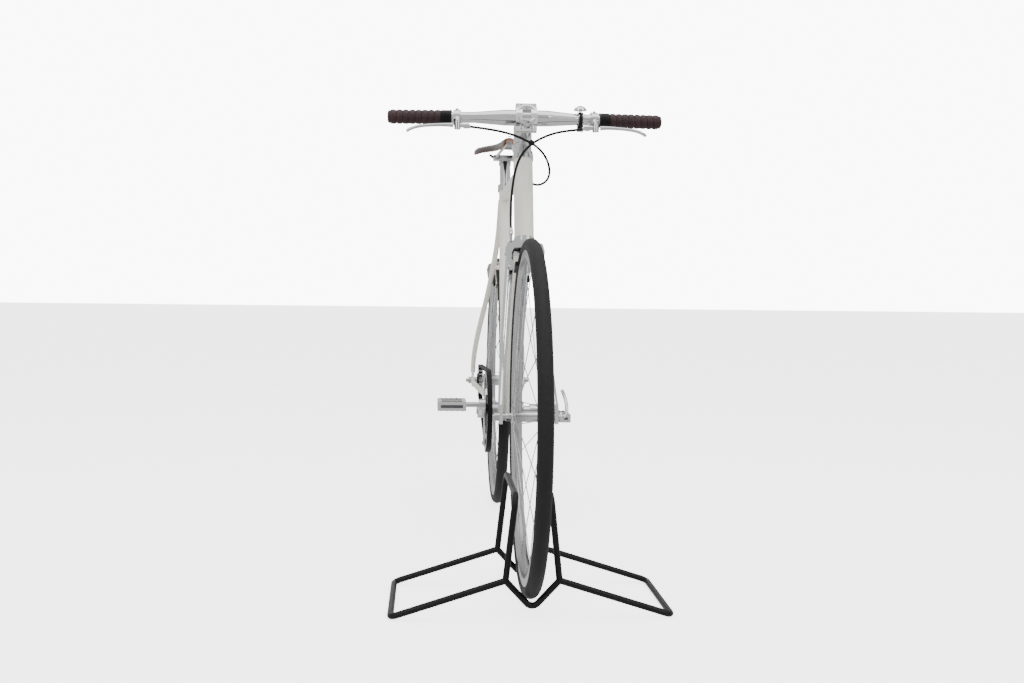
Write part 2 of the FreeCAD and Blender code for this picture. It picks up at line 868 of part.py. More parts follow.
def brake_levers():
    """Both lever brackets and both blades."""
    keep(both_sides("LeverClamps", lever_clamp), "brake_lever_clamps")
    keep(both_sides("LeverBlades", lever_blade), "brake_levers")


def bell():
    """A small domed bell on a strap round the bar, left of the stem."""
    place = float(S.bell_place)
    middle = on_bar(1, place)
    strap = rod_between("BellStrap", float(S.bar_end_radius) + 3, on_bar(1, place - 5), on_bar(1, place + 5))
    bore = rod_between("BellBore", S.bar_end_radius + 0.05, on_bar(1, place - 30), on_bar(1, place + 30))
    stalk = rod("BellStalk", 3, 8, middle + Z_AXIS * 13, Z_AXIS)
    height = 9
    dome_outline = [
        (0, 0),
        (S.bell_radius, 0),
        (S.bell_radius, 2),
        (S.bell_radius - 3, 6),
        (S.bell_radius - 8, height),
        (0, height),
    ]
    dome = turned("BellDome", dome_outline, middle + Z_AXIS * 18, Z_AXIS)
    foot = block("BellFoot", middle + Vector(-6, -6, -24), middle + Vector(6, 6, -12))
    solid = fused("BellSolid", [strap, stalk, dome, foot])
    keep(cut("Bell", solid, [bore]), "bell")


# ---- frame -----------------------------------------------------------------------------

def frame_tubes():
    """Head, seat, top and down tubes with the bottom bracket shell they meet in."""
    head_outline = [
        (S.head_tube_bore, S.head_tube_low),
        (S.head_tube_radius, S.head_tube_low),
        (S.head_tube_radius, S.head_tube_top),
        (S.head_tube_bore, S.head_tube_top),
    ]
    keep(turned("HeadTube", head_outline, STEER_BASE, STEER_UP), "head_tube")
    head_core = rod("HeadCore", S.head_tube_radius, S.head_tube_top - S.head_tube_low, on_steerer(S.head_tube_low), STEER_UP)

    spindle_bore = S.spindle_radius + S.running_gap
    cup = S.bracket_radius + 1.5
    shell_outline = [
        (spindle_bore, -S.bracket_cup_end),
        (cup, -S.bracket_cup_end),
        (cup, -S.bracket_half_width),
        (S.bracket_radius, -S.bracket_half_width),
        (S.bracket_radius, S.bracket_half_width),
        (cup, S.bracket_half_width),
        (cup, S.bracket_cup_end),
        (spindle_bore, S.bracket_cup_end),
    ]
    keep(turned("BracketShell", shell_outline, BRACKET), "bottom_bracket")
    bracket_core = rod("BracketCore", S.bracket_radius, S.bracket_half_width * 2, BRACKET - Y_AXIS * float(S.bracket_half_width), Y_AXIS)

    seat_top = on_seat_line(S.seat_tube_top)
    seat_outer = rod_between("SeatOuter", S.seat_tube_radius, BRACKET, seat_top)
    seat_bore = rod_between("SeatBore", S.seat_tube_bore, on_seat_line(float(S.seatpost_low) - 30), seat_top + SEAT_UP * 2)
    keep(cut("SeatTube", seat_outer, [bracket_core, seat_bore]), "seat_tube")
    seat_core = rod_between("SeatCore", S.seat_tube_radius, BRACKET, seat_top)

    top_start = on_steerer(float(S.head_tube_top) - 24)
    top_end = on_seat_line(float(S.seat_tube_top) - 26)
    top = rod_between("TopOuter", S.top_tube_radius, top_start, top_end)
    keep(cut("TopTube", top, [head_core, seat_core]), "top_tube")

    down_start = on_steerer(float(S.head_tube_low) + 36)
    down = rod_between("DownOuter", S.down_tube_radius, down_start, BRACKET)
    keep(cut("DownTube", down, [head_core, bracket_core, seat_core]), "down_tube")


def chain_stay(name, side):
    """Runs straight back beside the tyre, then out to the dropout between the belt's runs."""
    stations = [
        # distance behind the bracket, sideways, radius
        (14, 25.2, 8.5),
        (60, 26.5, 8.2),
        (104, 27.7, 8.0),
        (170, 36.0, 7.8),
        (262, 50.0, 7.6),
        (345, 62.5, 7.2),
        (402, 68.0, 6.5),
    ]
    way = (REAR_AXLE - BRACKET).normalize()
    points = [BRACKET + way * back + Y_AXIS * (side * spread) for back, spread, _ in stations]
    return shaped(name, tapered_tube(points, [station[2] for station in stations]))


SEAT_STAY_FOOT = REAR_AXLE + Vector(6, 0, 24)
SEAT_STAY_TOP = on_seat_line(815)
SEAT_STAY_WAY = (SEAT_STAY_TOP - SEAT_STAY_FOOT).normalize()


def seat_stay(name, side):
    """Comes down from the seat tube, clears the tyre and spreads to the dropout."""
    stations = [
        # height above the floor, sideways, radius
        (363, 68.0, 6.0),
        (400, 67.0, 6.6),
        (457, 60.0, 7.0),
        (521, 47.5, 7.0),
        (594, 33.0, 7.0),
        (640, 25.5, 7.0),
        (690, 18.5, 7.0),
        (760, 13.0, 7.0),
        (818, 11.5, 6.5),
    ]
    points = []
    for height, spread, _ in stations:
        share = (height - SEAT_STAY_FOOT.z) / (SEAT_STAY_TOP.z - SEAT_STAY_FOOT.z)
        points.append(SEAT_STAY_FOOT + (SEAT_STAY_TOP - SEAT_STAY_FOOT) * share + Y_AXIS * (side * spread))
    return shaped(name, tapered_tube(points, [station[2] for station in stations]))


def rear_dropout(name, side):
    """The plate that joins the stays and holds the rear axle."""
    thick = S.dropout_thickness
    outline = [(-18, -11), (8, -17), (46, -8), (44, 8), (22, 14), (18, 38), (-6, 40), (-18, 14)]
    start = float(S.rear_inner_half) if side > 0 else -float(S.rear_inner_half + thick)
    base = REAR_AXLE + Y_AXIS * (start + float(thick))
    plate = padded(name + "Plate", outline, "XY_Plane", 0, thick, Placement(base, Rotation(X_AXIS, 90)))
    reach = 60.0
    centre = Vector(REAR_AXLE.x, base.y - reach / 2, REAR_AXLE.z)
    slot = rod(name + "Slot", S.rear_axle_radius + S.running_gap, reach, centre, Y_AXIS)
    hole = rod(name + "Eyelet", 2.5, reach, centre + Vector(-10, 0, 14), Y_AXIS)
    return cut(name, plate, [slot, hole])


def stays():
    """Chain stays, seat stays with the brake bridge, and the rear dropouts."""
    dropouts = both_sides("RearDropout", rear_dropout)
    keep(dropouts, "rear_dropouts")
    seat_core = rod_between("StaySeatCore", S.seat_tube_radius, BRACKET, on_seat_line(S.seat_tube_top))
    keep(both_sides("ChainStay", chain_stay), "chain_stays")
    bridge_middle = rear_brake_point(float(S.brake_bolt_height), 0)
    bridge_half = 24.0
    bridge = rod("BrakeBridge", 6.5, 2 * bridge_half, bridge_middle - Y_AXIS * bridge_half, Y_AXIS)
    upper_parts = [seat_stay("SeatStay" + label.title(), side) for label, side in SIDES.items()]
    upper = fused("SeatStayPair", upper_parts + [bridge])
    keep(cut("SeatStays", upper, [dropouts, seat_core]), "seat_stays")


# ---- seat ------------------------------------------------------------------------------

def seat_clamp():
    """The collar that pinches the seat tube's top, with its bolt lugs behind."""
    height = 15.0
    top = on_seat_line(S.seat_tube_top)
    low = top - SEAT_UP * height
    collar = rod_between("CollarOuter", float(S.seat_tube_radius) + 3, low, top)
    frame = Placement(top, Rotation(Y_AXIS, float(S.seat_angle) - 90))
    lugs = block("CollarLugs", Vector(-27, -9, -height + 2), Vector(-15, 9, -2), frame)
    bore = rod_between("CollarBore", S.seat_tube_radius, low - SEAT_UP * 5, top + SEAT_UP * 5)
    solid = fused("CollarSolid", [collar, lugs])
    keep(cut("SeatClamp", solid, [bore]), "seat_clamp")


def rail(name, side):
    """One saddle rail, low and level where the seatpost grips it."""
    gauge = side * float(S.rail_half_gauge)
    height = float(S.rail_height)
    points = [
        Vector(-122, side * 9, height + 14),
        Vector(-165, side * 13, height + 9),
        Vector(-225, gauge, height),
        Vector(-315, gauge, height),
        Vector(-352, side * 34, height + 14),
    ]
    return shaped(name, bent_bar(points, float(S.rail_radius), 30.0))


def seatpost():
    """The post with its clamp, which holds the saddle's two rails."""
    top = on_seat_line(S.seatpost_top)
    post = rod_between("PostTube", S.seatpost_radius, on_seat_line(S.seatpost_low), top)
    head_middle = Vector(top.x - 3, 0, float(S.rail_height))
    half = float(S.rail_half_gauge) + 7
    yoke = rod("PostYoke", 12, 30, head_middle + Vector(0, -15, -9), Y_AXIS)
    lower = block("PostLower", head_middle + Vector(-19, -half, -7), head_middle + Vector(19, half, -0.5))
    upper = block("PostUpper", head_middle + Vector(-15, -half, 0.5), head_middle + Vector(15, half, 6))
    bolt = rod("PostBolt", 3, 21, head_middle + Vector(0, 0, -14), Z_AXIS)
    solid = fused("PostSolid", [post, yoke, lower, upper, bolt])
    rails = both_sides("Rail", rail)
    keep(rails, "saddle_rails")
    keep(cut("Seatpost", solid, [rails]), "seatpost")


def saddle():
    """The outer shape of the saddle, narrow at the nose and broad behind."""
    stations = [
        # place, half width, middle height, half height
        (-102, 9, 951, 7),
        (-112, 16, 951, 10),
        (-150, 21, 951, 12),
        (-210, 34, 952, 13),
        (-270, 62, 953, 14),
        (-320, 77, 955, 14),
        (-352, 78, 956, 13),
        (-370, 62, 957, 10),
        (-377, 44, 957, 6),
    ]
    rings = []
    for place, half_width, middle, half_height in stations:
        rings.append(oval(Vector(place, 0, middle), X_AXIS, half_width, half_height))
    keep(shaped("Saddle", Part.makeLoft(rings, True, False)), "saddle")


# ---- brakes and housings ---------------------------------------------------------------

def rear_brake_frame():
    """The frame of the rear brake: up from the axle to the bridge, forwards is to the rear."""
    way = (Vector(SEAT_STAY_WAY.x, 0, SEAT_STAY_WAY.z)).normalize()
    back = Vector(-way.z, 0, way.x)
    turn = Rotation(back, Vector(0, -1, 0), way, "ZXY")
    level = way * (SEAT_STAY_FOOT - REAR_AXLE).dot(way)
    return Placement(SEAT_STAY_FOOT - level, turn)


def rear_brake_point(along, forward):
    """A point in the middle plane of the rear brake's frame."""
    return rear_brake_frame().multVec(Vector(forward, 0, along))


def brake_arm(name, side, start, frame):
    """One caliper arm, from the centre bolt over the tyre and down to the pad."""
    bolt = float(S.brake_bolt_height)
    pad = float(S.pad_height)
    outline = [
        (side * -7, bolt - 7),
        (side * 9, bolt - 8),
        (side * 22, bolt - 9),
        (side * 28, bolt - 18),
        (side * 29, bolt - 30),
        (side * 22, pad + 6),
        (side * 22, pad - 6),
        (side * 32, pad - 7),
        (side * 37, bolt - 34),
        (side * 40, bolt - 14),
        (side * 36, bolt + 2),
        (side * 20, bolt + 9),
        (side * -7, bolt + 8),
    ]
    return padded(name, outline, "YZ_Plane", start, float(S.brake_thickness) - 1, frame)


def brake(label, frame, plane):
    """A caliper of two arms on one bolt, with a pad at each side of the rim."""
    thick = float(S.brake_thickness)
    left = brake_arm(label + "LeftArm", 1, plane - thick, frame)
    right = brake_arm(label + "RightArm", -1, plane + 0.5, frame)
    keep(group(label + "Arms", [left, right]), label + "_arms")
    pads = []
    for name, side in SIDES.items():
        inner = side * float(S.pad_inner)
        outer = side * float(S.pad_inner + S.pad_depth)
        low = Vector(plane - float(S.pad_length) / 2, min(inner, outer), float(S.pad_height - S.pad_width / 2))
        high = Vector(plane + float(S.pad_length) / 2, max(inner, outer), float(S.pad_height + S.pad_width / 2))
        pads.append(block(label + name.title() + "Pad", low, high, frame))
    arms = doc.getObject(label + "Arms")
    keep(cut(label + "Pads", group(label + "PadPair", pads), [arms]), label + "_pads")


def brakes():
    """The front brake ahead of the crown and the rear brake behind the bridge."""
    front_plane = float(S.crown_depth) / 2 + float(S.brake_thickness) + 1
    brake("front_brake", STEER_FRAME, front_plane)
    rear_plane = 6.5 + float(S.brake_thickness) + 1
    brake("rear_brake", rear_brake_frame(), rear_plane)


def housings():
    """The brake housings, from the levers to the front caliper and into the frame."""
    housing("front_brake_housing", [
        Vector(386, 118, 917),
        Vector(390, 92, 913),
        Vector(395, 62, 908),
        Vector(395, 35, 899),
        Vector(391, 10, 885),
        Vector(384, -9, 866),
        Vector(378, -20, 840),
        Vector(375, -26, 805),
        Vector(376, -29, 770),
        Vector(383, -30, 740),
        Vector(390, -29, 712),
    ])
    housing("rear_brake_housing", [
        Vector(386, -118, 917),
        Vector(391, -88, 913),
        Vector(398, -58, 908),
        Vector(401, -30, 901),
        Vector(399, -6, 892),
        Vector(394, 16, 882),
        Vector(387, 34, 867),
        Vector(376, 46, 847),
        Vector(360, 50, 828),
        Vector(339, 45, 815),
        Vector(314, 34, 810),
        Vector(288, 23, 813),
        Vector(264, 14, 822),
    ])


# ---- drive -----------------------------------------------------------------------------

def pitch_radius(teeth):
    """Radius of the belt's pitch line round a sprocket."""
    return teeth * S.belt_pitch / (2 * math.pi)


def belt_loop(offset):
    """A closed outline round both sprockets, offset outwards from the pitch line."""
    front = float(pitch_radius(S.front_teeth)) + offset
    rear = float(pitch_radius(S.rear_teeth)) + offset
    run = BRACKET - REAR_AXLE
    lean = math.asin((front - rear) / run.Length)
    heading = math.atan2(run.z, run.x)
    upper = heading + math.pi / 2 + lean
    lower = heading - math.pi / 2 - lean

    def on(centre, radius, angle):
        return Vector(centre.x + radius * math.cos(angle), 0, centre.z + radius * math.sin(angle))

    top_rear = on(REAR_AXLE, rear, upper)
    top_front = on(BRACKET, front, upper)
    low_rear = on(REAR_AXLE, rear, lower)
    low_front = on(BRACKET, front, lower)
    edges = [
        Part.LineSegment(top_rear, top_front).toShape(),
        Part.Arc(top_front, on(BRACKET, front, heading), low_front).toShape(),
        Part.LineSegment(low_front, low_rear).toShape(),
        Part.Arc(low_rear, on(REAR_AXLE, rear, heading + math.pi), top_rear).toShape(),
    ]
    return Part.Face(Part.Wire(edges))


def belt():
    """The belt as one plain band, just clear of both sprockets."""
    inside = -float(S.belt_inside)
    outside = inside + float(S.belt_thickness)
    band = belt_loop(outside).cut(belt_loop(inside))
    shape = band.extrude(Y_AXIS * float(S.belt_width))
    shape.translate(Y_AXIS * -float(S.belt_line + S.belt_width / 2))
    keep(shaped("Belt", shape), "drive_belt")


def front_sprocket():
    """The toothed ring that the spider carries."""
    outer = pitch_radius(S.front_teeth) - S.belt_inside - S.sprocket_gap
    near = -S.belt_line + S.belt_width / 2
    far = -S.belt_line - S.belt_width / 2
    outline = [(S.ring_inner_radius, far), (outer, far), (outer, near), (S.ring_inner_radius, near)]
    keep(turned("FrontSprocket", outline, BRACKET), "front_sprocket")


def rear_sprocket():
    """The small sprocket on its freewheel carrier."""
    outer = pitch_radius(S.rear_teeth) - S.belt_inside - S.sprocket_gap
    near = -S.belt_line + S.belt_width / 2
    far = -S.belt_line - S.belt_width / 2
    bore = S.rear_axle_radius + S.running_gap
    inner_end = -S.rear_hub_right_end - 1.5
    outer_end = far - 3
    outline = [
        (bore, outer_end),
        (S.carrier_radius, outer_end),
        (S.carrier_radius, far),
        (outer, far),
        (outer, near),
        (S.carrier_radius, near),
        (S.carrier_radius, inner_end),
        (bore, inner_end),
    ]
    keep(turned("RearSprocket", outline, REAR_AXLE), "rear_sprocket")


def crank_arm(name, side):
    """An arm from the spindle to the pedal's eye, with the spindle's boss."""
    way = CRANK_WAY * (1 if side < 0 else -1)
    up = Vector(-way.z, 0, way.x)
    boss = rod_between(
        name + "Boss", S.crank_boss_radius,
        BRACKET + Y_AXIS * (side * float(S.crank_inner)),
        BRACKET + Y_AXIS * (side * float(S.crank_outer)),
    )
    eye_middle = BRACKET + way * float(S.crank_length)
    eye = rod_between(
        name + "Eye", S.crank_eye_radius,
        eye_middle + Y_AXIS * (side * float(S.crank_eye_inner)),
        eye_middle + Y_AXIS * (side * float(S.crank_eye_outer)),
    )
    high = float(S.crank_arm_half_height)
    slim = 1.5
    rings = []
    for along, near, far, half in (
        (0, float(S.crank_inner) + 2, float(S.crank_outer) - 1, high + 3),
        (float(S.crank_length), float(S.crank_eye_inner) + 1, float(S.crank_eye_outer) - 1, high - slim),
    ):
        middle = BRACKET + way * along
        corners = [
            middle + up * half + Y_AXIS * (side * near),
            middle + up * half + Y_AXIS * (side * far),
            middle - up * half + Y_AXIS * (side * far),
            middle - up * half + Y_AXIS * (side * near),
        ]
        rings.append(Part.makePolygon(corners + corners[:1]))
    arm = shaped(name + "Arm", Part.makeLoft(rings, True, True))
    return fused(name, [boss, eye, arm])


def spider():
    """Five arms that carry the front sprocket on the outer side."""
    near = -float(S.belt_line + S.belt_width / 2)
    thickness = float(S.spider_thickness)
    half = 8.0
    arms = []
    for index in range(5):
        turn = Rotation(Y_AXIS, 36 + index * 72)
        frame = Placement(BRACKET, turn)
        low = Vector(0, near - thickness, -half)
        high = Vector(float(S.spider_radius), near, half)
        arms.append(block(f"SpiderArm{index}", low, high, frame))
    return arms


def crankset():
    """Both crank arms, the spindle with the right one, and the pedal axles."""
    near = float(S.belt_line + S.belt_width / 2)
    spindle = rod_between(
        "Spindle", S.spindle_radius,
        BRACKET - Y_AXIS * near,
        BRACKET + Y_AXIS * float(S.crank_inner),
    )
    right = crank_arm("CrankRight", SIDES["right"])
    keep(fused("CrankArmRight", [right, spindle] + spider()), "crank_arm_right")
    keep(crank_arm("CrankLeft", SIDES["left"]), "crank_arm_left")
    axles = []
    for label, side in SIDES.items():
        middle = pedal_middle(side)
        start = middle + Y_AXIS * (side * float(S.crank_eye_outer))
        end = middle + Y_AXIS * (side * (float(S.pedal_outer) - 4))
        axles.append(rod_between("PedalAxle" + label.title(), S.pedal_axle_radius, start, end))
    keep(group("PedalAxles", axles), "pedal_axles")


def pedal_middle(side):
    """The pedal's axis, at the end of its crank arm."""
    return BRACKET + CRANK_WAY * (float(S.crank_length) * (1 if side < 0 else -1))


def pedal(label, side):
    """A platform with an open cage round its barrel."""
    half_long = float(S.pedal_length) / 2
    half_high = float(S.pedal_height) / 2
    inner = float(S.pedal_inner)
    outer = float(S.pedal_outer)
    rail_width = float(S.pedal_rail)
    name = "Pedal" + label.title()
    frame = Placement(pedal_middle(side), Rotation())
    low_y, high_y = sorted((side * inner, side * outer))
    cage = block(name + "Cage", Vector(-half_long, low_y, -half_high), Vector(half_long, high_y, half_high), frame)
    windows = []
    for end in (1, -1):
        near = end * (float(S.pedal_barrel_radius) + 1)
        far = end * (half_long - rail_width)
        low_x, high_x = sorted((near, far))
        low = Vector(low_x, low_y + rail_width, -half_high - 1)
        high = Vector(high_x, high_y - rail_width, half_high + 1)
        windows.append(block(f"{name}Window{end}", low, high, frame))
    bore_start = pedal_middle(side) + Y_AXIS * (side * (inner - 2))
    bore_end = pedal_middle(side) + Y_AXIS * (side * (outer - 3))
    bore = rod_between(name + "Bore", S.pedal_axle_radius + S.running_gap, bore_start, bore_end)
    keep(cut(name, cage, windows + [bore]), "pedal_" + label)


# ---- floor stand -----------------------------------------------------------------------

def stand_point(end, side, height):
    """A corner of the stand, ahead of the front axle or behind it."""
    return Vector(FRONT_AXLE.x + end * float(S.stand_half_length), side, height)


def stand_cradle(name, end):
    """The bar under the tyre, lowest in the middle."""
    half = float(S.stand_joint_half)
    height = float(S.stand_joint_height)
    points = [
        stand_point(end, -half, height),
        stand_point(end, 0, float(S.stand_cradle_height)),
        stand_point(end, half, height),
    ]
    return shaped(name, bent_bar(points, float(S.stand_tube_radius), 14.0))


def stand_hoop(name, side):
    """The upright hoop beside the wheel, leaning in towards it."""
    low_half = side * float(S.stand_joint_half)
    low_height = float(S.stand_joint_height)
    top_half = side * float(S.stand_hoop_half)
    top_height = float(S.stand_hoop_height)
    points = [
        stand_point(1, low_half, low_height),
        stand_point(1, top_half, top_height),
        stand_point(-1, top_half, top_height),
        stand_point(-1, low_half, low_height),
    ]
    return shaped(name, bent_bar(points, float(S.stand_tube_radius), 20.0))


def stand_wing(name, side):
    """The frame that slopes out to the floor and keeps the stand from tipping."""
    low_half = side * float(S.stand_joint_half)
    low_height = float(S.stand_joint_height)
    far_half = side * float(S.stand_half_width)
    far_height = float(S.stand_tube_radius)
    points = [
        stand_point(1, low_half, low_height),
        stand_point(1, far_half, far_height),
        stand_point(-1, far_half, far_height),
        stand_point(-1, low_half, low_height),
    ]
    return shaped(name, bent_bar(points, float(S.stand_tube_radius), 14.0))


def stand():
    """Cradles under the wheel, hoops beside it and wings out to the floor."""
    wings = both_sides("StandWing", stand_wing)
    keep(wings, "stand_wings")
    hoops = both_sides("StandHoop", stand_hoop)
    keep(cut("StandHoops", hoops, [wings]), "stand_hoops")
    cradles = group("StandCradle", [stand_cradle("CradleFront", 1), stand_cradle("CradleRear", -1)])
    keep(cut("StandCradles", cradles, [wings, hoops]), "stand_cradles")


# ---- the whole bicycle -----------------------------------------------------------------

def check_all():
    """Stop if any object failed, or if a sub-part has no valid shape."""
    for item in doc.Objects:
        if "Invalid" in item.State or "Error" in item.State:
            raise RuntimeError(f"{item.Name} is {item.State}")
    for item in subparts:
        if item.Shape.isNull() or not item.Shape.isValid():
            raise RuntimeError(f"{item.Label} has no valid shape")


def write_parts():
    """Write each sub-part to its own file."""
    os.makedirs("parts", exist_ok=True)
    for item in subparts:
        item.Shape.exportStep(f"parts/{item.Label}.step")
        box = item.Shape.BoundBox
        low = [round(value) for value in (box.XMin, box.YMin, box.ZMin)]
        high = [round(value) for value in (box.XMax, box.YMax, box.ZMax)]
        print(f"{item.Label:22s} {len(item.Shape.Solids)} solids  {item.Shape.Volume / 1000:9.1f} cm3", low, high)


def build():
    """Every sub-part, from the wheels to the stand."""
    for label, base in (("front", FRONT_AXLE), ("rear", REAR_AXLE)):
        tyre(label + "_tyre", base)
        rim(label + "_rim", base)
    front_hub()
    rear_hub()
    spokes("front_spokes", FRONT_AXLE, S.front_flange_radius, S.front_flange_place)
    spokes("rear_spokes", REAR_AXLE, S.rear_flange_radius, S.rear_flange_place)
    axle("front_axle", FRONT_AXLE, S.front_axle_radius, S.fork_inner_half, S.front_hub_end, S.front_hub_end, 8, 9, 3)
    axle("rear_axle", REAR_AXLE, S.rear_axle_radius, S.rear_inner_half, S.belt_line + S.belt_width / 2 + 3,
         S.rear_hub_left_end, 9.5, 9, 7)
    fork()
    headset()
    stem()
    handlebar()
    grips()
    brake_levers()
    bell()
    frame_tubes()
    stays()
    seat_clamp()
    seatpost()
    saddle()
    brakes()
    housings()
    belt()
    front_sprocket()
    rear_sprocket()
    crankset()
    for label, side in SIDES.items():
        pedal(label, side)
    stand()
    doc.recompute()
    check_all()
    write_parts()


build()
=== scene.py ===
import bpy
import json
import math
from mathutils import Matrix, Vector


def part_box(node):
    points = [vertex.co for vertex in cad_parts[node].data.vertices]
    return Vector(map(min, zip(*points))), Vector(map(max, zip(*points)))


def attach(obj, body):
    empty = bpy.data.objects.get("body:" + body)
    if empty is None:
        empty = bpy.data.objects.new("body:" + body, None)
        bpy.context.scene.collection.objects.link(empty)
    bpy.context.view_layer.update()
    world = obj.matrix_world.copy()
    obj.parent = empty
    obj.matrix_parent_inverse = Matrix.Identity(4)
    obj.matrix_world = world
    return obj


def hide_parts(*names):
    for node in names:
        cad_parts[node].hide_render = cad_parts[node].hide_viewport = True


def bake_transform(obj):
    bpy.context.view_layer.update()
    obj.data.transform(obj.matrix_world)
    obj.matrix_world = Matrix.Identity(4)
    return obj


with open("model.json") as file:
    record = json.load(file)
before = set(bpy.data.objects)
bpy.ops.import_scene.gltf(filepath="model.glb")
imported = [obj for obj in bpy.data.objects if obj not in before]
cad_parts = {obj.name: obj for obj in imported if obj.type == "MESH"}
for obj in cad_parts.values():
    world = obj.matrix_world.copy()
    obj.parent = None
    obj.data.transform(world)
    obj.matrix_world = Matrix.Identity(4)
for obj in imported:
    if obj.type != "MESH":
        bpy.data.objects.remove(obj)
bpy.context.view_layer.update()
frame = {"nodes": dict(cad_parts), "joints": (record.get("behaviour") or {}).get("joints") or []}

MM = 0.001
X_AXIS = Vector((1, 0, 0))
Y_AXIS = Vector((0, 1, 0))
Z_AXIS = Vector((0, 0, 1))


# ---- places read from the frame --------------------------------------------------------

def middle(node):
    """The centre of a node's box."""
    low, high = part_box(node)
    return (low + high) / 2


FRONT_AXLE = middle("front_tyre")
REAR_AXLE = middle("rear_tyre")
BRACKET = middle("front_sprocket")
BRACKET.y = 0
JOINTS = {joint["name"]: joint for joint in frame["joints"]}
STEER_UP = Vector(JOINTS["steering"]["axis"])
STEER_FORWARD = Y_AXIS.cross(STEER_UP).normalized()
BELT_LINE = middle("drive_belt").y
BAR_SWEEP = math.radians(5)
BAR_CLAMP_X = 0.3668
BAR_HEIGHT = 0.938
SIDES = {"left": 1, "right": -1}


# ---- materials -------------------------------------------------------------------------

def surface(name, colour, metallic, roughness, grain=0.0, grain_scale=400.0, shade=0.0,
            stretch=(1, 1, 1), coat=0.0, gloss=0.5):
    """A surface whose colour, roughness and bump vary with a fine grain over the object."""
    material = bpy.data.materials.new(name)
    material.use_nodes = True
    nodes = material.node_tree.nodes
    links = material.node_tree.links
    shader = nodes["Principled BSDF"]
    shader.inputs["Metallic"].default_value = metallic
    shader.inputs["Coat Weight"].default_value = coat
    shader.inputs["Specular IOR Level"].default_value = gloss
    shader.inputs["Coat Roughness"].default_value = 0.04
    place = nodes.new("ShaderNodeTexCoord")
    mapping = nodes.new("ShaderNodeMapping")
    mapping.inputs["Scale"].default_value = stretch
    links.new(place.outputs["Object"], mapping.inputs["Vector"])
    noise = nodes.new("ShaderNodeTexNoise")
    noise.inputs["Scale"].default_value = grain_scale
    noise.inputs["Detail"].default_value = 5
    links.new(mapping.outputs["Vector"], noise.inputs["Vector"])
    clouds = nodes.new("ShaderNodeTexNoise")
    clouds.inputs["Scale"].default_value = 14
    links.new(place.outputs["Object"], clouds.inputs["Vector"])
    ramp = nodes.new("ShaderNodeValToRGB")
    dark = [channel * (1 - shade) for channel in colour]
    light = [min(1, channel * (1 + shade)) for channel in colour]
    ramp.color_ramp.elements[0].position = 0.3
    ramp.color_ramp.elements[0].color = (*dark, 1)
    ramp.color_ramp.elements[1].position = 0.7
    ramp.color_ramp.elements[1].color = (*light, 1)
    links.new(clouds.outputs["Fac"], ramp.inputs["Fac"])
    links.new(ramp.outputs["Color"], shader.inputs["Base Color"])
    spread = nodes.new("ShaderNodeMapRange")
    spread.inputs["To Min"].default_value = roughness * 0.75
    spread.inputs["To Max"].default_value = roughness * 1.3
    links.new(noise.outputs["Fac"], spread.inputs["Value"])
    links.new(spread.outputs["Result"], shader.inputs["Roughness"])
    bump = nodes.new("ShaderNodeBump")
    bump.inputs["Strength"].default_value = grain
    bump.inputs["Distance"].default_value = 0.0006
    links.new(noise.outputs["Fac"], bump.inputs["Height"])
    links.new(bump.outputs["Normal"], shader.inputs["Normal"])
    return material


CREAM = surface("cream_gloss_paint", (0.80, 0.765, 0.68), 0.0, 0.2, 0.03, 900, 0.02, coat=0.6)
POLISHED = surface("polished_alloy", (0.56, 0.56, 0.57), 1.0, 0.12, 0.05, 700, 0.05, (1, 4, 1))
CHROME = surface("chrome_plate", (0.60, 0.60, 0.61), 1.0, 0.06, 0.02, 500, 0.03)
SATIN = surface("satin_alloy", (0.42, 0.42, 0.43), 1.0, 0.28, 0.12, 900, 0.06)
STEEL = surface("spoke_steel", (0.45, 0.45, 0.46), 1.0, 0.2, 0.05, 900, 0.05)
TREAD = surface("tread_rubber", (0.012, 0.012, 0.0125), 0.0, 0.62, 0.5, 1500, 0.12, gloss=0.2)
BELT = surface("belt_rubber", (0.004, 0.004, 0.0045), 0.0, 0.5, 0.4, 1800, 0.1, gloss=0.15)
GRIP_LEATHER = surface("grip_leather", (0.026, 0.008, 0.010), 0.0, 0.4, 0.7, 1100, 0.3, gloss=0.3)
SADDLE_LEATHER = surface("saddle_leather", (0.022, 0.006, 0.004), 0.0, 0.24, 0.4, 900, 0.35, gloss=0.4)
LEATHER_EDGE = surface("cut_leather_edge", (0.34, 0.10, 0.028), 0.0, 0.5, 0.5, 1200, 0.25, gloss=0.3)
BLACK_COAT = surface("black_powder_coat", (0.004, 0.004, 0.0045), 0.0, 0.36, 0.35, 1600, 0.1, gloss=0.2)
BLACK_PLASTIC = surface("black_plastic", (0.004, 0.004, 0.004), 0.0, 0.3, 0.15, 1200, 0.1, gloss=0.2)
GREY_STRIPE = surface("grey_grip_stripe", (0.07, 0.07, 0.075), 0.0, 0.7, 0.8, 1500, 0.2, gloss=0.2)

NODE_FINISHES = {
    CREAM: ["head_tube", "top_tube", "down_tube", "seat_tube", "chain_stays", "seat_stays", "rear_dropouts"],
    POLISHED: ["stem", "handlebar", "front_hub", "rear_hub", "crank_arm_right", "crank_arm_left", "seatpost",
               "seat_clamp", "headset_cups", "headset_spacers", "headset_top_cap", "brake_levers",
               "brake_lever_clamps", "front_brake_arms", "rear_brake_arms", "pedal_left", "pedal_right"],
    CHROME: ["fork_crown", "fork_blades", "fork_dropouts", "saddle_rails", "bell"],
    SATIN: ["bottom_bracket", "front_rim", "rear_rim"],
    STEEL: ["front_spokes", "rear_spokes", "front_axle", "rear_axle", "pedal_axles"],
    TREAD: ["front_tyre", "rear_tyre"],
    BELT: ["drive_belt"],
    BLACK_COAT: ["stand_wings", "stand_hoops", "stand_cradles"],
    BLACK_PLASTIC: ["front_brake_pads", "rear_brake_pads"],
}


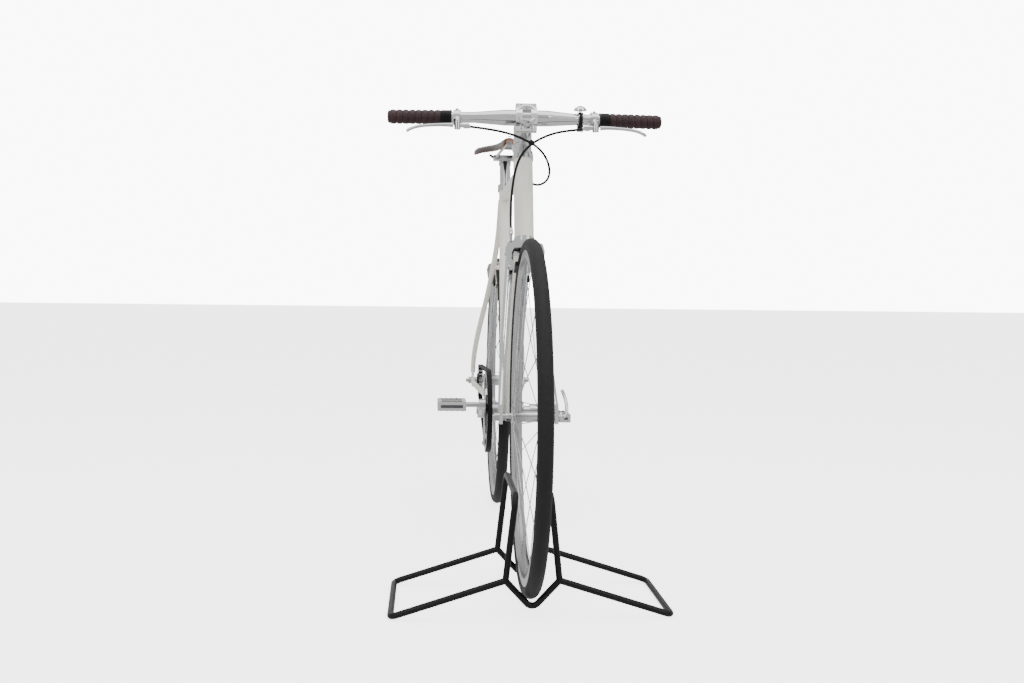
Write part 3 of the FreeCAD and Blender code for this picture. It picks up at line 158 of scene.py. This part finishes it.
def finish_nodes():
    """Give each carried-over node its own finish."""
    for material, names in NODE_FINISHES.items():
        for name in names:
            node = frame["nodes"][name]
            for slot in node.material_slots:
                slot.material = material


# ---- modelling helpers -----------------------------------------------------------------

def clear_selection():
    """Leave nothing selected, so that an operator acts only on what it is given."""
    for item in bpy.context.selected_objects:
        item.select_set(False)
    bpy.context.view_layer.objects.active = None


def take(item):
    """Make one object the selected and active one."""
    clear_selection()
    item.select_set(True)
    bpy.context.view_layer.objects.active = item


def settle(item, name, material, smooth=True):
    """Put the place into the mesh, name the piece and give it its finish."""
    take(item)
    bpy.ops.object.transform_apply(location=True, rotation=True, scale=True)
    item.name = name
    if not item.data.materials:
        item.data.materials.append(material)
    if smooth:
        bpy.ops.object.shade_smooth_by_angle(angle=math.radians(40))
    return item


def mend(item):
    """Merge doubled points and turn every face outwards."""
    take(item)
    bpy.ops.object.mode_set(mode="EDIT")
    bpy.ops.mesh.select_all(action="SELECT")
    bpy.ops.mesh.remove_doubles(threshold=1e-6)
    bpy.ops.mesh.normals_make_consistent(inside=False)
    bpy.ops.object.mode_set(mode="OBJECT")


def joined(items, name):
    """One mesh made of several."""
    clear_selection()
    for item in items:
        item.select_set(True)
    bpy.context.view_layer.objects.active = items[0]
    bpy.ops.object.join()
    items[0].name = name
    return items[0]


def facing(direction):
    """The turn that lays a piece's own Z axis along a direction."""
    return Vector(direction).to_track_quat("Z", "Y")


def turned(name, profile, base, direction, material, steps=48):
    """A shape spun round an axis.  The profile is (radius, height) pairs in millimetres."""
    mesh = bpy.data.meshes.new(name)
    points = [(radius * MM, 0, height * MM) for radius, height in profile]
    mesh.from_pydata(points, [(i, i + 1) for i in range(len(points) - 1)], [])
    item = bpy.data.objects.new(name, mesh)
    bpy.context.scene.collection.objects.link(item)
    take(item)
    bpy.ops.object.mode_set(mode="EDIT")
    bpy.ops.mesh.select_all(action="SELECT")
    bpy.ops.mesh.spin(steps=steps, angle=math.tau, center=(0, 0, 0), axis=(0, 0, 1))
    bpy.ops.object.mode_set(mode="OBJECT")
    mend(item)
    item.rotation_mode = "QUATERNION"
    item.rotation_quaternion = facing(direction)
    item.location = base
    return settle(item, name, material)


def tube(name, points, radius, material, closed_ends=True):
    """A round tube on a smooth line through the neighbourhood of the points, in millimetres."""
    curve = bpy.data.curves.new(name, "CURVE")
    curve.dimensions = "3D"
    curve.bevel_depth = radius * MM
    curve.bevel_resolution = 4
    curve.use_fill_caps = closed_ends
    spline = curve.splines.new("NURBS")
    spline.points.add(len(points) - 1)
    for point, place in zip(spline.points, points):
        point.co = (*(Vector(place) * MM), 1)
    spline.order_u = 3
    spline.use_endpoint_u = True
    spline.resolution_u = 8
    guide = bpy.data.objects.new(name + "_guide", curve)
    bpy.context.scene.collection.objects.link(guide)
    bpy.context.view_layer.update()
    mesh = bpy.data.meshes.new_from_object(guide.evaluated_get(bpy.context.evaluated_depsgraph_get()))
    bpy.data.objects.remove(guide)
    item = bpy.data.objects.new(name, mesh)
    bpy.context.scene.collection.objects.link(item)
    item.data.materials.clear()
    mend(item)
    return settle(item, name, material)


def bolt_head(name, place, direction, radius=3.2, height=3.5, material=CHROME):
    """A round socket head with a round recess."""
    bpy.ops.object.select_all(action="DESELECT")
    bpy.ops.mesh.primitive_cylinder_add(vertices=24, radius=radius * MM, depth=height * MM)
    item = bpy.context.active_object
    bpy.ops.object.mode_set(mode="EDIT")
    bpy.ops.mesh.select_mode(type="FACE")
    bpy.ops.mesh.select_all(action="DESELECT")
    bpy.ops.object.mode_set(mode="OBJECT")
    for face in item.data.polygons:
        face.select = face.normal.z > 0.9
    bpy.ops.object.mode_set(mode="EDIT")
    bpy.ops.mesh.inset(thickness=radius * 0.16 * MM)
    bpy.ops.transform.translate(value=(0, 0, 0.3 * MM))
    bpy.ops.mesh.inset(thickness=radius * 0.34 * MM)
    bpy.ops.mesh.extrude_region_move(TRANSFORM_OT_translate={"value": (0, 0, -height * 0.5 * MM)})
    bpy.ops.object.mode_set(mode="OBJECT")
    item.rotation_mode = "QUATERNION"
    item.rotation_quaternion = facing(direction)
    item.location = Vector(place) + Vector(direction).normalized() * (height / 2 * MM)
    return settle(item, name, material)


def on_body(item, body, slot, *nodes):
    """Say which body a piece rides on and the nodes it stands for, which are hidden; the slot argument, its
    finish, is not used.
    """
    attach(item, body)
    if nodes:
        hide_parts(*nodes)
    return item


# ---- handlebar -------------------------------------------------------------------------

def grip(side_name, side):
    """A sewn leather sleeve of eight soft bulges, with a black collar at its inner end."""
    node = "grip_" + side_name
    low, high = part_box(node)
    way = Vector((-math.sin(BAR_SWEEP), side * math.cos(BAR_SWEEP), 0))
    outer_y = high.y if side > 0 else low.y
    length = 128
    leather = 107
    bore = 11.2
    grip_radius = 14.6
    end_lean = 1.2
    outer_end = Vector((low.x + grip_radius * MM, outer_y, (low.z + high.z) / 2))
    start = outer_end - way * (length * MM) - Y_AXIS * (side * end_lean * MM)
    profile = [(bore, length - leather), (13.2, length - leather)]
    bulges = 8
    per_bulge = 7
    for index in range(bulges * per_bulge + 1):
        share = index / (bulges * per_bulge)
        swell = abs(math.sin(math.pi * share * bulges)) ** 0.6
        profile.append((12.5 + 2.0 * swell, length - leather + 0.8 + share * (leather - 5)))
    profile += [(12.6, length - 1.2), (10.5, length - 0.2), (0, length)]
    sleeve = turned(node + "_leather", profile, start, way, GRIP_LEATHER, 40)
    on_body(sleeve, "front_end", "grip_leather", node)
    seam_drop = 13.9
    stitch_pitch = 3.05
    stitches = []
    for index in range(34):
        along = length - leather + 3 + index * stitch_pitch
        place = start + way * (along * MM) - Z_AXIS * (seam_drop * MM)
        bpy.ops.object.select_all(action="DESELECT")
        bpy.ops.mesh.primitive_uv_sphere_add(segments=8, ring_count=5, radius=0.9 * MM, location=place,
                                             scale=(2.2, 0.8, 0.7))
        stitches.append(bpy.context.active_object)
    seam = settle(joined(stitches, node + "_stitches"), node + "_stitches", LEATHER_EDGE)
    on_body(seam, "front_end", "grip_leather")
    collar_profile = [(bore, 0), (13.8, 0), (14.5, 0.8), (14.5, 3)]
    for index in range(5):
        at = 4 + index * 3.2
        collar_profile += [(14.5, at), (13.9, at + 0.5), (13.9, at + 1.3), (14.5, at + 1.8)]
    inner_end = length - leather
    collar_profile += [(14.5, inner_end - 0.6), (13.6, inner_end), (bore, inner_end)]
    collar = turned(node + "_collar", collar_profile, start, way, BLACK_PLASTIC, 40)
    on_body(collar, "front_end", "black_plastic")


def faceplate():
    """A round clamp face with an open middle and four bolts in its ears."""
    centre = Vector((BAR_CLAMP_X, 0, middle("handlebar").z))
    face_ring = [
        (13.5, 15.0), (14.5, 19.0), (17.5, 21.0), (20.0, 20.5), (21.5, 17.0), (21.5, 9.0),
        (13.5, 9.0), (13.5, 15.0),
    ]
    ring = turned("faceplate_ring", face_ring, centre, STEER_FORWARD, CHROME, 64)
    on_body(ring, "front_end", "polished_alloy")
    bolt_places = ((-10.5, 23.5), (10.5, 23.5), (-10.5, -23.5), (10.5, -23.5))
    for index, (side, up) in enumerate(bolt_places):
        foot = centre + Y_AXIS * (side * MM) + STEER_UP * (up * MM) + STEER_FORWARD * (6.5 * MM)
        bolt = bolt_head(f"faceplate_bolt_{index}", foot, STEER_FORWARD, 3.4, 4.5)
        on_body(bolt, "front_end", "polished_alloy")


def lever_details():
    """Clamp bolts, cable adjusters and pivot screws of the brake levers."""
    adjuster_profile = [
        (0, -8), (4.4, -8), (5.2, -7), (5.2, -1), (4.4, 0), (4.4, 2), (3.6, 3), (3.6, 7), (0, 7),
    ]
    clamps_low, clamps_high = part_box("brake_lever_clamps")
    for name, side in SIDES.items():
        anchor = Vector((386, side * 118, 917)) * MM
        way = (0.1, -side, -0.12)
        adjuster = turned("lever_adjuster_" + name, adjuster_profile, anchor, way, CHROME, 24)
        on_body(adjuster, "front_end", "polished_alloy")
        pivot = Vector((clamps_high.x - 6.5 * MM, side * 138 * MM, clamps_low.z + 16.5 * MM))
        screw = bolt_head("lever_pivot_screw_" + name, pivot, Z_AXIS, 4.2, 2.5)
        on_body(screw, "front_end", "polished_alloy")
        clamp = Vector((359 * MM, side * 138 * MM, 951 * MM))
        pinch = bolt_head("lever_clamp_screw_" + name, clamp, Vector((0.3, 0, 1)), 2.8, 4.5)
        on_body(pinch, "front_end", "polished_alloy")


def bell_strap():
    """The black strap that holds the bell."""
    centre = middle("bell")
    centre.z = BAR_HEIGHT
    profile = [
        (12.0, -4), (14.2, -4), (14.7, -3), (14.7, 3), (14.2, 4), (12.0, 4), (12.0, -4),
    ]
    ring = turned("bell_strap", profile, centre, Y_AXIS, BLACK_PLASTIC, 40)
    on_body(ring, "front_end", "black_plastic")


# ---- housings --------------------------------------------------------------------------

FRONT_ROUTE = [
    (386, 118, 917), (390, 92, 913), (395, 62, 908), (395, 35, 899), (391, 10, 885), (384, -9, 866),
    (378, -20, 840), (375, -26, 805), (376, -29, 770), (383, -30, 740), (390, -29, 712),
]
REAR_ROUTE = [
    (386, -118, 917), (391, -88, 913), (398, -58, 908), (401, -30, 901), (399, -6, 892),
    (394, 16, 882), (387, 34, 867), (376, 46, 847), (360, 50, 828), (339, 45, 815),
    (314, 34, 810), (288, 23, 813), (264, 14, 822),
]


def housings():
    """Both brake housings and their clip; the front housing rides on the front end and the rear one stays
    fixed in place.
    """
    front = tube("front_brake_housing_smooth", FRONT_ROUTE, 2.5, BLACK_PLASTIC)
    on_body(front, "front_end", "black_plastic", "front_brake_housing")
    rear = tube("rear_brake_housing_smooth", REAR_ROUTE, 2.5, BLACK_PLASTIC)
    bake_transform(rear)
    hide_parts("rear_brake_housing")
    clip_place = Vector((396, 9, 886)) * MM
    profile = [(3.0, -4), (5.2, -4), (5.8, -3), (5.8, 3), (5.2, 4), (3.0, 4), (3.0, -4)]
    clip = turned("housing_clip", profile, clip_place, (-0.25, 0.8, -0.5), BLACK_PLASTIC, 24)
    on_body(clip, "front_end", "black_plastic")


# ---- saddle ----------------------------------------------------------------------------

SADDLE_STATIONS = [
    # place, half width, crown height, skirt drop
    (-103, 9, 954, 10),
    (-112, 15, 960, 22),
    (-135, 18, 962, 26),
    (-170, 22, 962, 26),
    (-210, 30, 961, 24),
    (-250, 46, 961, 22),
    (-285, 65, 963, 23),
    (-320, 77, 966, 26),
    (-350, 79, 968, 26),
    (-368, 70, 967, 22),
    (-377, 56, 963, 12),
]


def saddle():
    """A leather shell with a rounded top, turned-down skirts and a cut edge of lighter leather."""
    across = 20
    bpy.ops.object.select_all(action="DESELECT")
    bpy.ops.mesh.primitive_grid_add(x_subdivisions=len(SADDLE_STATIONS) - 1, y_subdivisions=across, size=2)
    shell = bpy.context.active_object
    rows = len(SADDLE_STATIONS)
    for vertex in shell.data.vertices:
        row = round((vertex.co.x + 1) / 2 * (rows - 1))
        place, half_width, crown, drop = SADDLE_STATIONS[row]
        share = vertex.co.y
        angle = abs(share) * math.pi / 2
        side = math.copysign(half_width * math.sin(angle) ** 0.85, share) if share else 0
        fall = drop * (1 - math.cos(angle) ** 0.55)
        vertex.co = Vector((place, side, crown - fall)) * MM
    mend(shell)
    thick = shell.modifiers.new("leather", "SOLIDIFY")
    thick.thickness = 4.2 * MM
    thick.offset = -1
    thick.material_offset_rim = 1
    smooth = shell.modifiers.new("smooth", "SUBSURF")
    smooth.levels = 2
    smooth.render_levels = 2
    shell.data.materials.append(SADDLE_LEATHER)
    shell.data.materials.append(LEATHER_EDGE)
    take(shell)
    bpy.ops.object.modifier_apply(modifier="leather")
    bpy.ops.object.modifier_apply(modifier="smooth")
    settle(shell, "saddle_shell", SADDLE_LEATHER)
    on_body(shell, "frame", "brown_leather", "saddle")
    rivets = [
        (-372, -34, 960), (-372, 34, 960), (-374, 0, 965), (-362, -62, 962), (-362, 62, 962),
        (-110, 0, 961),
    ]
    for index, place in enumerate(rivets):
        rivet = bolt_head(f"saddle_rivet_{index}", Vector(place) * MM, Z_AXIS, 4.0, 1.6, POLISHED)
        on_body(rivet, "frame", "polished_alloy")


# ---- wheels ----------------------------------------------------------------------------

def nipples(prefix, axle, body):
    """A nipple on each spoke where it enters the rim."""
    count = 32
    swing = 3 * 4 * math.pi / count
    made = []
    for side in (1, -1):
        for index in range(count // 2):
            lean = 1 if index % 2 else -1
            at_hub = index * 4 * math.pi / count + (math.pi / count if side < 0 else 0)
            angle = at_hub + lean * swing
            outwards = Vector((math.cos(angle), 0, math.sin(angle)))
            place = axle + outwards * (291 * MM) + Y_AXIS * ((side * 3 + lean * 1.3) * MM)
            bpy.ops.object.select_all(action="DESELECT")
            turn = facing(outwards).to_euler()
            bpy.ops.mesh.primitive_cone_add(vertices=10, radius1=1.3 * MM, radius2=2.0 * MM,
                                            depth=12 * MM, location=place, rotation=turn)
            made.append(bpy.context.active_object)
    item = settle(joined(made, prefix + "_nipples"), prefix + "_nipples", STEEL)
    on_body(item, body, "bare_steel")


def valve(prefix, axle, body):
    """The valve stem with its cap, between two spokes."""
    inwards = Vector((0.195, 0, -0.981))
    base = axle - inwards * (297 * MM)
    stem_profile = [(0, 0), (3.2, 0), (3.2, 3), (2.9, 3.4), (2.9, 24), (0, 24)]
    stem = turned(prefix + "_valve", stem_profile, base, inwards, STEEL, 20)
    on_body(stem, body, "bare_steel")
    cap_profile = [(3.6, 23), (3.6, 33), (2.4, 36), (0, 36), (0, 35)]
    cap = turned(prefix + "_valve_cap", cap_profile, base, inwards, BLACK_PLASTIC, 20)
    on_body(cap, body, "black_plastic")


def quick_release():
    """The lever and the nut of the front axle."""
    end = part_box("front_axle")[1].y / MM
    base = FRONT_AXLE / MM
    path = [
        (base.x, end - 2, base.z), (base.x - 2, end + 4, base.z + 2), (base.x - 6, end + 6, base.z + 16),
        (base.x - 12, end + 4, base.z + 34), (base.x - 18, end - 3, base.z + 50),
    ]
    lever = tube("front_release_lever", path, 3.4, CHROME)
    on_body(lever, "front_end", "chrome_plate")
    cup_profile = [(0, 0), (9, 0), (10.5, 2), (10.5, 6), (8, 9), (0, 10)]
    cup_place = FRONT_AXLE + Y_AXIS * (57 * MM)
    cup = turned("front_release_cup", cup_profile, cup_place, Y_AXIS, CHROME, 32)
    on_body(cup, "front_end", "chrome_plate")


# ---- drive -----------------------------------------------------------------------------

PITCH = 11.0
FRONT_TEETH = 56
REAR_TEETH = 24


def belt_places():
    """Where each belt tooth sits on the pitch line, with its inward direction."""
    front = FRONT_TEETH * PITCH / math.tau
    rear = REAR_TEETH * PITCH / math.tau
    run = (BRACKET - REAR_AXLE) / MM
    distance = math.hypot(run.x, run.z)
    lean = math.asin((front - rear) / distance)
    heading = math.atan2(run.z, run.x)
    upper = heading + math.pi / 2 + lean
    lower = heading - math.pi / 2 - lean
    straight = distance * math.cos(lean)
    front_arc = front * (upper - lower)
    rear_arc = rear * (math.tau - (upper - lower))
    total = 2 * straight + front_arc + rear_arc
    count = round(total / PITCH)

    def outward(angle):
        return Vector((math.cos(angle), 0, math.sin(angle)))

    places = []
    for index in range(count):
        along = total * index / count
        if along < front_arc:
            angle = upper - along / front
            places.append((BRACKET / MM + outward(angle) * front, outward(angle)))
            continue
        along -= front_arc
        if along < straight:
            start = BRACKET / MM + outward(lower) * front
            end = REAR_AXLE / MM + outward(lower) * rear
            places.append((start + (end - start) * (along / straight), outward(lower)))
            continue
        along -= straight
        if along < rear_arc:
            angle = lower - along / rear
            places.append((REAR_AXLE / MM + outward(angle) * rear, outward(angle)))
            continue
        along -= rear_arc
        start = REAR_AXLE / MM + outward(upper) * rear
        end = BRACKET / MM + outward(upper) * front
        places.append((start + (end - start) * (along / straight), outward(upper)))
    first_rear = lower - (math.ceil((front_arc + straight) / PITCH) * PITCH - front_arc - straight) / rear
    return places, upper, first_rear


def belt_teeth(places):
    """The moulded teeth along the inside of the belt."""
    made = []
    for place, outwards in places:
        centre = (place - outwards * 2.6) * MM
        centre.y = BELT_LINE
        bpy.ops.object.select_all(action="DESELECT")
        bpy.ops.mesh.primitive_cylinder_add(vertices=8, radius=2.2 * MM, depth=12 * MM, location=centre,
                                            rotation=(math.pi / 2, 0, 0))
        made.append(bpy.context.active_object)
    item = settle(joined(made, "belt_teeth"), "belt_teeth", BELT)
    on_body(item, "frame", "belt_rubber")


def toothed_ring(name, teeth, first_angle, centre, inner, material):
    """A sprocket whose outer wall has a round groove for every belt tooth."""
    outer = teeth * PITCH / math.tau - 1.5
    depth = 3.6
    per_tooth = 6
    sizes = (outer - depth, outer - depth * 0.8, outer, outer, outer, outer - depth * 0.8)
    rings = []
    for radius in (outer, inner):
        bpy.ops.object.select_all(action="DESELECT")
        bpy.ops.mesh.primitive_cylinder_add(vertices=teeth * per_tooth, radius=radius * MM, depth=12 * MM,
                                            end_fill_type="NOTHING")
        rings.append(bpy.context.active_object)
    wall = rings[0]
    step = math.tau / (teeth * per_tooth)
    for vertex in wall.data.vertices:
        angle = math.atan2(vertex.co.y, vertex.co.x)
        index = round((angle - math.pi / 2) / step)
        radius = sizes[index % per_tooth] * MM
        vertex.co.x = radius * math.cos(angle)
        vertex.co.y = radius * math.sin(angle)
    item = joined(rings, name)
    bpy.ops.object.mode_set(mode="EDIT")
    for top in (True, False):
        bpy.ops.mesh.select_mode(type="EDGE")
        bpy.ops.mesh.select_all(action="DESELECT")
        bpy.ops.object.mode_set(mode="OBJECT")
        for edge in item.data.edges:
            heights = [item.data.vertices[index].co.z for index in edge.vertices]
            edge.select = min(heights) > 0 if top else max(heights) < 0
        bpy.ops.object.mode_set(mode="EDIT")
        bpy.ops.mesh.bridge_edge_loops()
    bpy.ops.object.mode_set(mode="OBJECT")
    mend(item)
    turn = Matrix.Rotation(math.pi / 2, 4, "X") @ Matrix.Rotation(first_angle - math.pi / 2, 4, "Z")
    place = Vector((centre.x, BELT_LINE, centre.z))
    item.data.transform(Matrix.Translation(place) @ turn)
    return settle(item, name, material)


def drive():
    """Toothed sprockets in mesh with the belt, with the bolts of the crank."""
    places, front_angle, rear_angle = belt_places()
    belt_teeth(places)
    front = toothed_ring("front_sprocket_toothed", FRONT_TEETH, front_angle, BRACKET, 82, SATIN)
    on_body(front, "crankset", "bare_steel", "front_sprocket")
    rear = toothed_ring("rear_sprocket_toothed", REAR_TEETH, rear_angle, REAR_AXLE, 20, POLISHED)
    on_body(rear, "rear_sprocket", "bare_steel", "rear_sprocket")
    carrier_profile = [
        (5.2, 0), (14, 0), (16, 1.5), (20, 1.5), (20, 15), (17, 16.8), (5.2, 16.8), (5.2, 0),
    ]
    carrier_place = REAR_AXLE - Y_AXIS * (39.5 * MM)
    carrier = turned("rear_carrier", carrier_profile, carrier_place, -Y_AXIS, BLACK_COAT, 48)
    on_body(carrier, "rear_sprocket", "bare_steel")
    for index in range(5):
        angle = math.radians(-36 - index * 72)
        outwards = Vector((math.cos(angle), 0, math.sin(angle)))
        place = BRACKET + outwards * (86 * MM) - Y_AXIS * (57 * MM)
        bolt = bolt_head(f"spider_bolt_{index}", place, -Y_AXIS, 4.2, 1.8)
        on_body(bolt, "crankset", "polished_alloy")
    cap_profile = [(0, 0), (8, 0), (8.5, 0.8), (8.5, 2), (7, 3), (4, 3), (3.6, 0.6), (0, 0.6)]
    for name, side in SIDES.items():
        cap_place = BRACKET + Y_AXIS * (side * 72 * MM)
        cap = turned("crank_bolt_" + name, cap_profile, cap_place, (0, side, 0), CHROME, 32)
        on_body(cap, "crankset", "polished_alloy")


def pedal_details(name, body):
    """Grey grip strips in the cage's front and back, and small pins above and below."""
    low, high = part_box(name)
    centre = (low + high) / 2
    reach = high.x - low.x
    pieces = []
    for end in (1, -1):
        bpy.ops.object.select_all(action="DESELECT")
        place = centre + X_AXIS * (end * (reach / 2 - 0.2 * MM))
        bpy.ops.mesh.primitive_cube_add(size=1, location=place, scale=(1.6 * MM, 50 * MM, 7 * MM))
        strip = bpy.context.active_object
        bevel = strip.modifiers.new("edge", "BEVEL")
        bevel.width = 0.6 * MM
        bevel.segments = 3
        bpy.ops.object.modifier_apply(modifier="edge")
        pieces.append(strip)
    strips = settle(joined(pieces, name + "_strips"), name + "_strips", GREY_STRIPE)
    on_body(strips, body, "black_plastic")
    pins = []
    for end in (1, -1):
        for face in (1, -1):
            for index in range(5):
                across = end * (reach / 2 - 4.5 * MM)
                place = centre + Vector((across, (index - 2) * 12 * MM, face * 10 * MM))
                turn = (0 if face > 0 else math.pi, 0, 0)
                bpy.ops.object.select_all(action="DESELECT")
                bpy.ops.mesh.primitive_cone_add(vertices=10, radius1=1.5 * MM, radius2=1.0 * MM,
                                                depth=2.4 * MM, location=place, rotation=turn)
                pins.append(bpy.context.active_object)
    on_body(settle(joined(pins, name + "_pins"), name + "_pins", STEEL), body, "bare_steel")


# ---- brakes ----------------------------------------------------------------------------

def front_brake_details():
    """The centre bolt, the adjuster and the pad bolts of the front brake."""
    arms_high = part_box("front_brake_arms")[1]
    bolt_place = Vector((arms_high.x - 4 * MM, 0, arms_high.z - 13 * MM))
    nut = turned("front_brake_centre", [(0, 0), (7, 0), (7, 3), (5, 5), (5, 9), (3, 10.5), (0, 10.5)],
                 bolt_place, STEER_FORWARD, CHROME, 24)
    on_body(nut, "front_end", "polished_alloy")
    barrel_profile = [
        (0, -14), (3, -14), (3, -2), (4.6, -1), (4.6, 5), (3.8, 6), (3.4, 12), (0, 12),
    ]
    barrel_place = Vector((390, -29, 706)) * MM
    barrel = turned("front_brake_adjuster", barrel_profile, barrel_place, (0.02, 0, 1), CHROME, 24)
    on_body(barrel, "front_end", "polished_alloy")
    bolt_profile = [
        (0, 0), (3, 0), (3, 9), (5.2, 9), (5.2, 13), (2.6, 13), (2.6, 11), (0, 11),
    ]
    pads = middle("front_brake_pads")
    for name, side in SIDES.items():
        place = Vector((pads.x + 3 * MM, side * 22 * MM, pads.z))
        bolt = turned("front_pad_bolt_" + name, bolt_profile, place, (0, side, 0), CHROME, 20)
        on_body(bolt, "front_end", "polished_alloy")


# ---- stage -----------------------------------------------------------------------------

def plain_material(name, colour, roughness, glow=0.0):
    """A plain finish for the stage, which may shine by itself."""
    material = bpy.data.materials.new(name)
    material.use_nodes = True
    shader = material.node_tree.nodes["Principled BSDF"]
    shader.inputs["Base Color"].default_value = (*colour, 1)
    shader.inputs["Roughness"].default_value = roughness
    shader.inputs["Specular IOR Level"].default_value = 0
    shader.inputs["Emission Color"].default_value = (1, 1, 1, 1)
    shader.inputs["Emission Strength"].default_value = glow
    return material


def backdrop(name, place, turn, glow):
    """A bright plane that the camera sees and that lights nothing."""
    bpy.ops.object.select_all(action="DESELECT")
    bpy.ops.mesh.primitive_plane_add(size=60, location=place, rotation=turn)
    plane = bpy.context.active_object
    plane.name = name
    plane.data.materials.append(plain_material(name, (0.93, 0.93, 0.93), 0.9, glow))
    plane.visible_diffuse = False
    plane.visible_glossy = False
    plane.visible_shadow = False


def area_light(name, place, target, size, power):
    """A soft square light that faces a point."""
    data = bpy.data.lights.new(name, "AREA")
    data.shape = "RECTANGLE"
    data.size, data.size_y = size
    data.energy = power
    lamp = bpy.data.objects.new(name, data)
    lamp.location = place
    lamp.rotation_mode = "QUATERNION"
    lamp.rotation_quaternion = (Vector(target) - Vector(place)).to_track_quat("-Z", "Y")
    bpy.context.scene.collection.objects.link(lamp)


def dark_panel(name, place, size):
    """An upright dark board beside the set, seen only in reflections."""
    bpy.ops.object.select_all(action="DESELECT")
    bpy.ops.mesh.primitive_plane_add(size=1, location=place, rotation=(math.pi / 2, 0, 0))
    panel = bpy.context.active_object
    panel.scale = (*size, 1)
    panel.rotation_euler = (math.pi / 2, 0, math.atan2(place[1], place[0]) + math.pi / 2)
    panel.data.materials.append(plain_material(name, (0.02, 0.02, 0.02), 0.9))
    panel.visible_camera = False
    panel.visible_shadow = False
    panel.visible_diffuse = False


def stage():
    """A pale floor with bright walls, an even surround and soft lights."""
    backdrop("floor", (0, 0, 0), (0, 0, 0), 3.0)
    for index, angle in enumerate((0, 90, 180, 270)):
        turn = math.radians(angle)
        place = (28 * math.cos(turn), 28 * math.sin(turn), 10)
        backdrop(f"backdrop_{index}", place, (math.pi / 2, 0, turn + math.pi / 2), 9.0)
    world = bpy.data.worlds.new("surround")
    world.use_nodes = True
    bpy.context.scene.world = world
    world.node_tree.nodes["Background"].inputs["Color"].default_value = (1, 1, 1, 1)
    world.node_tree.nodes["Background"].inputs["Strength"].default_value = 0.95
    area_light("top_light", (0.6, 0, 3.2), (0, 0, 0.4), (3.0, 3.0), 60)
    area_light("front_left_light", (3.2, 2.4, 2.2), (0.3, 0, 0.5), (1.6, 1.6), 40)
    area_light("front_right_light", (3.2, -2.4, 2.2), (0.3, 0, 0.5), (1.6, 1.6), 40)
    for index, place in enumerate(((1.6, 2.6, 0.8), (1.6, -2.6, 0.8), (-2.6, 1.6, 0.8), (4.4, 0.9, 1.6))):
        dark_panel(f"dark_panel_{index}", place, (0.9, 1.8))


def camera():
    """Almost straight ahead of the front wheel, at about hip height."""
    yaw, pitch, roll = (math.radians(value) for value in (-4.13, 2.8117, 0.6699))
    forward = Vector((-math.cos(yaw) * math.cos(pitch), -math.sin(yaw) * math.cos(pitch), -math.sin(pitch)))
    level = forward.cross(Z_AXIS).normalized()
    upright = level.cross(forward)
    right = level * math.cos(roll) + upright * math.sin(roll)
    up = upright * math.cos(roll) - level * math.sin(roll)
    data = bpy.data.cameras.new("camera")
    data.sensor_width = 36
    data.lens = 40.55
    item = bpy.data.objects.new("camera", data)
    turn = Matrix((right, up, -forward)).transposed().to_4x4()
    item.matrix_world = Matrix.Translation(Vector((2.6874, -0.1906, 0.6046))) @ turn
    bpy.context.scene.collection.objects.link(item)
    bpy.context.scene.camera = item


camera()
housings()
finish_nodes()
for label, hand in SIDES.items():
    grip(label, hand)
faceplate()
lever_details()
bell_strap()
saddle()
for end_name, hub in (("front", FRONT_AXLE), ("rear", REAR_AXLE)):
    nipples(end_name, hub, end_name + "_wheel")
    valve(end_name, hub, end_name + "_wheel")
quick_release()
drive()
pedal_details("pedal_left", "pedal_left")
pedal_details("pedal_right", "pedal_right")
front_brake_details()
stage()
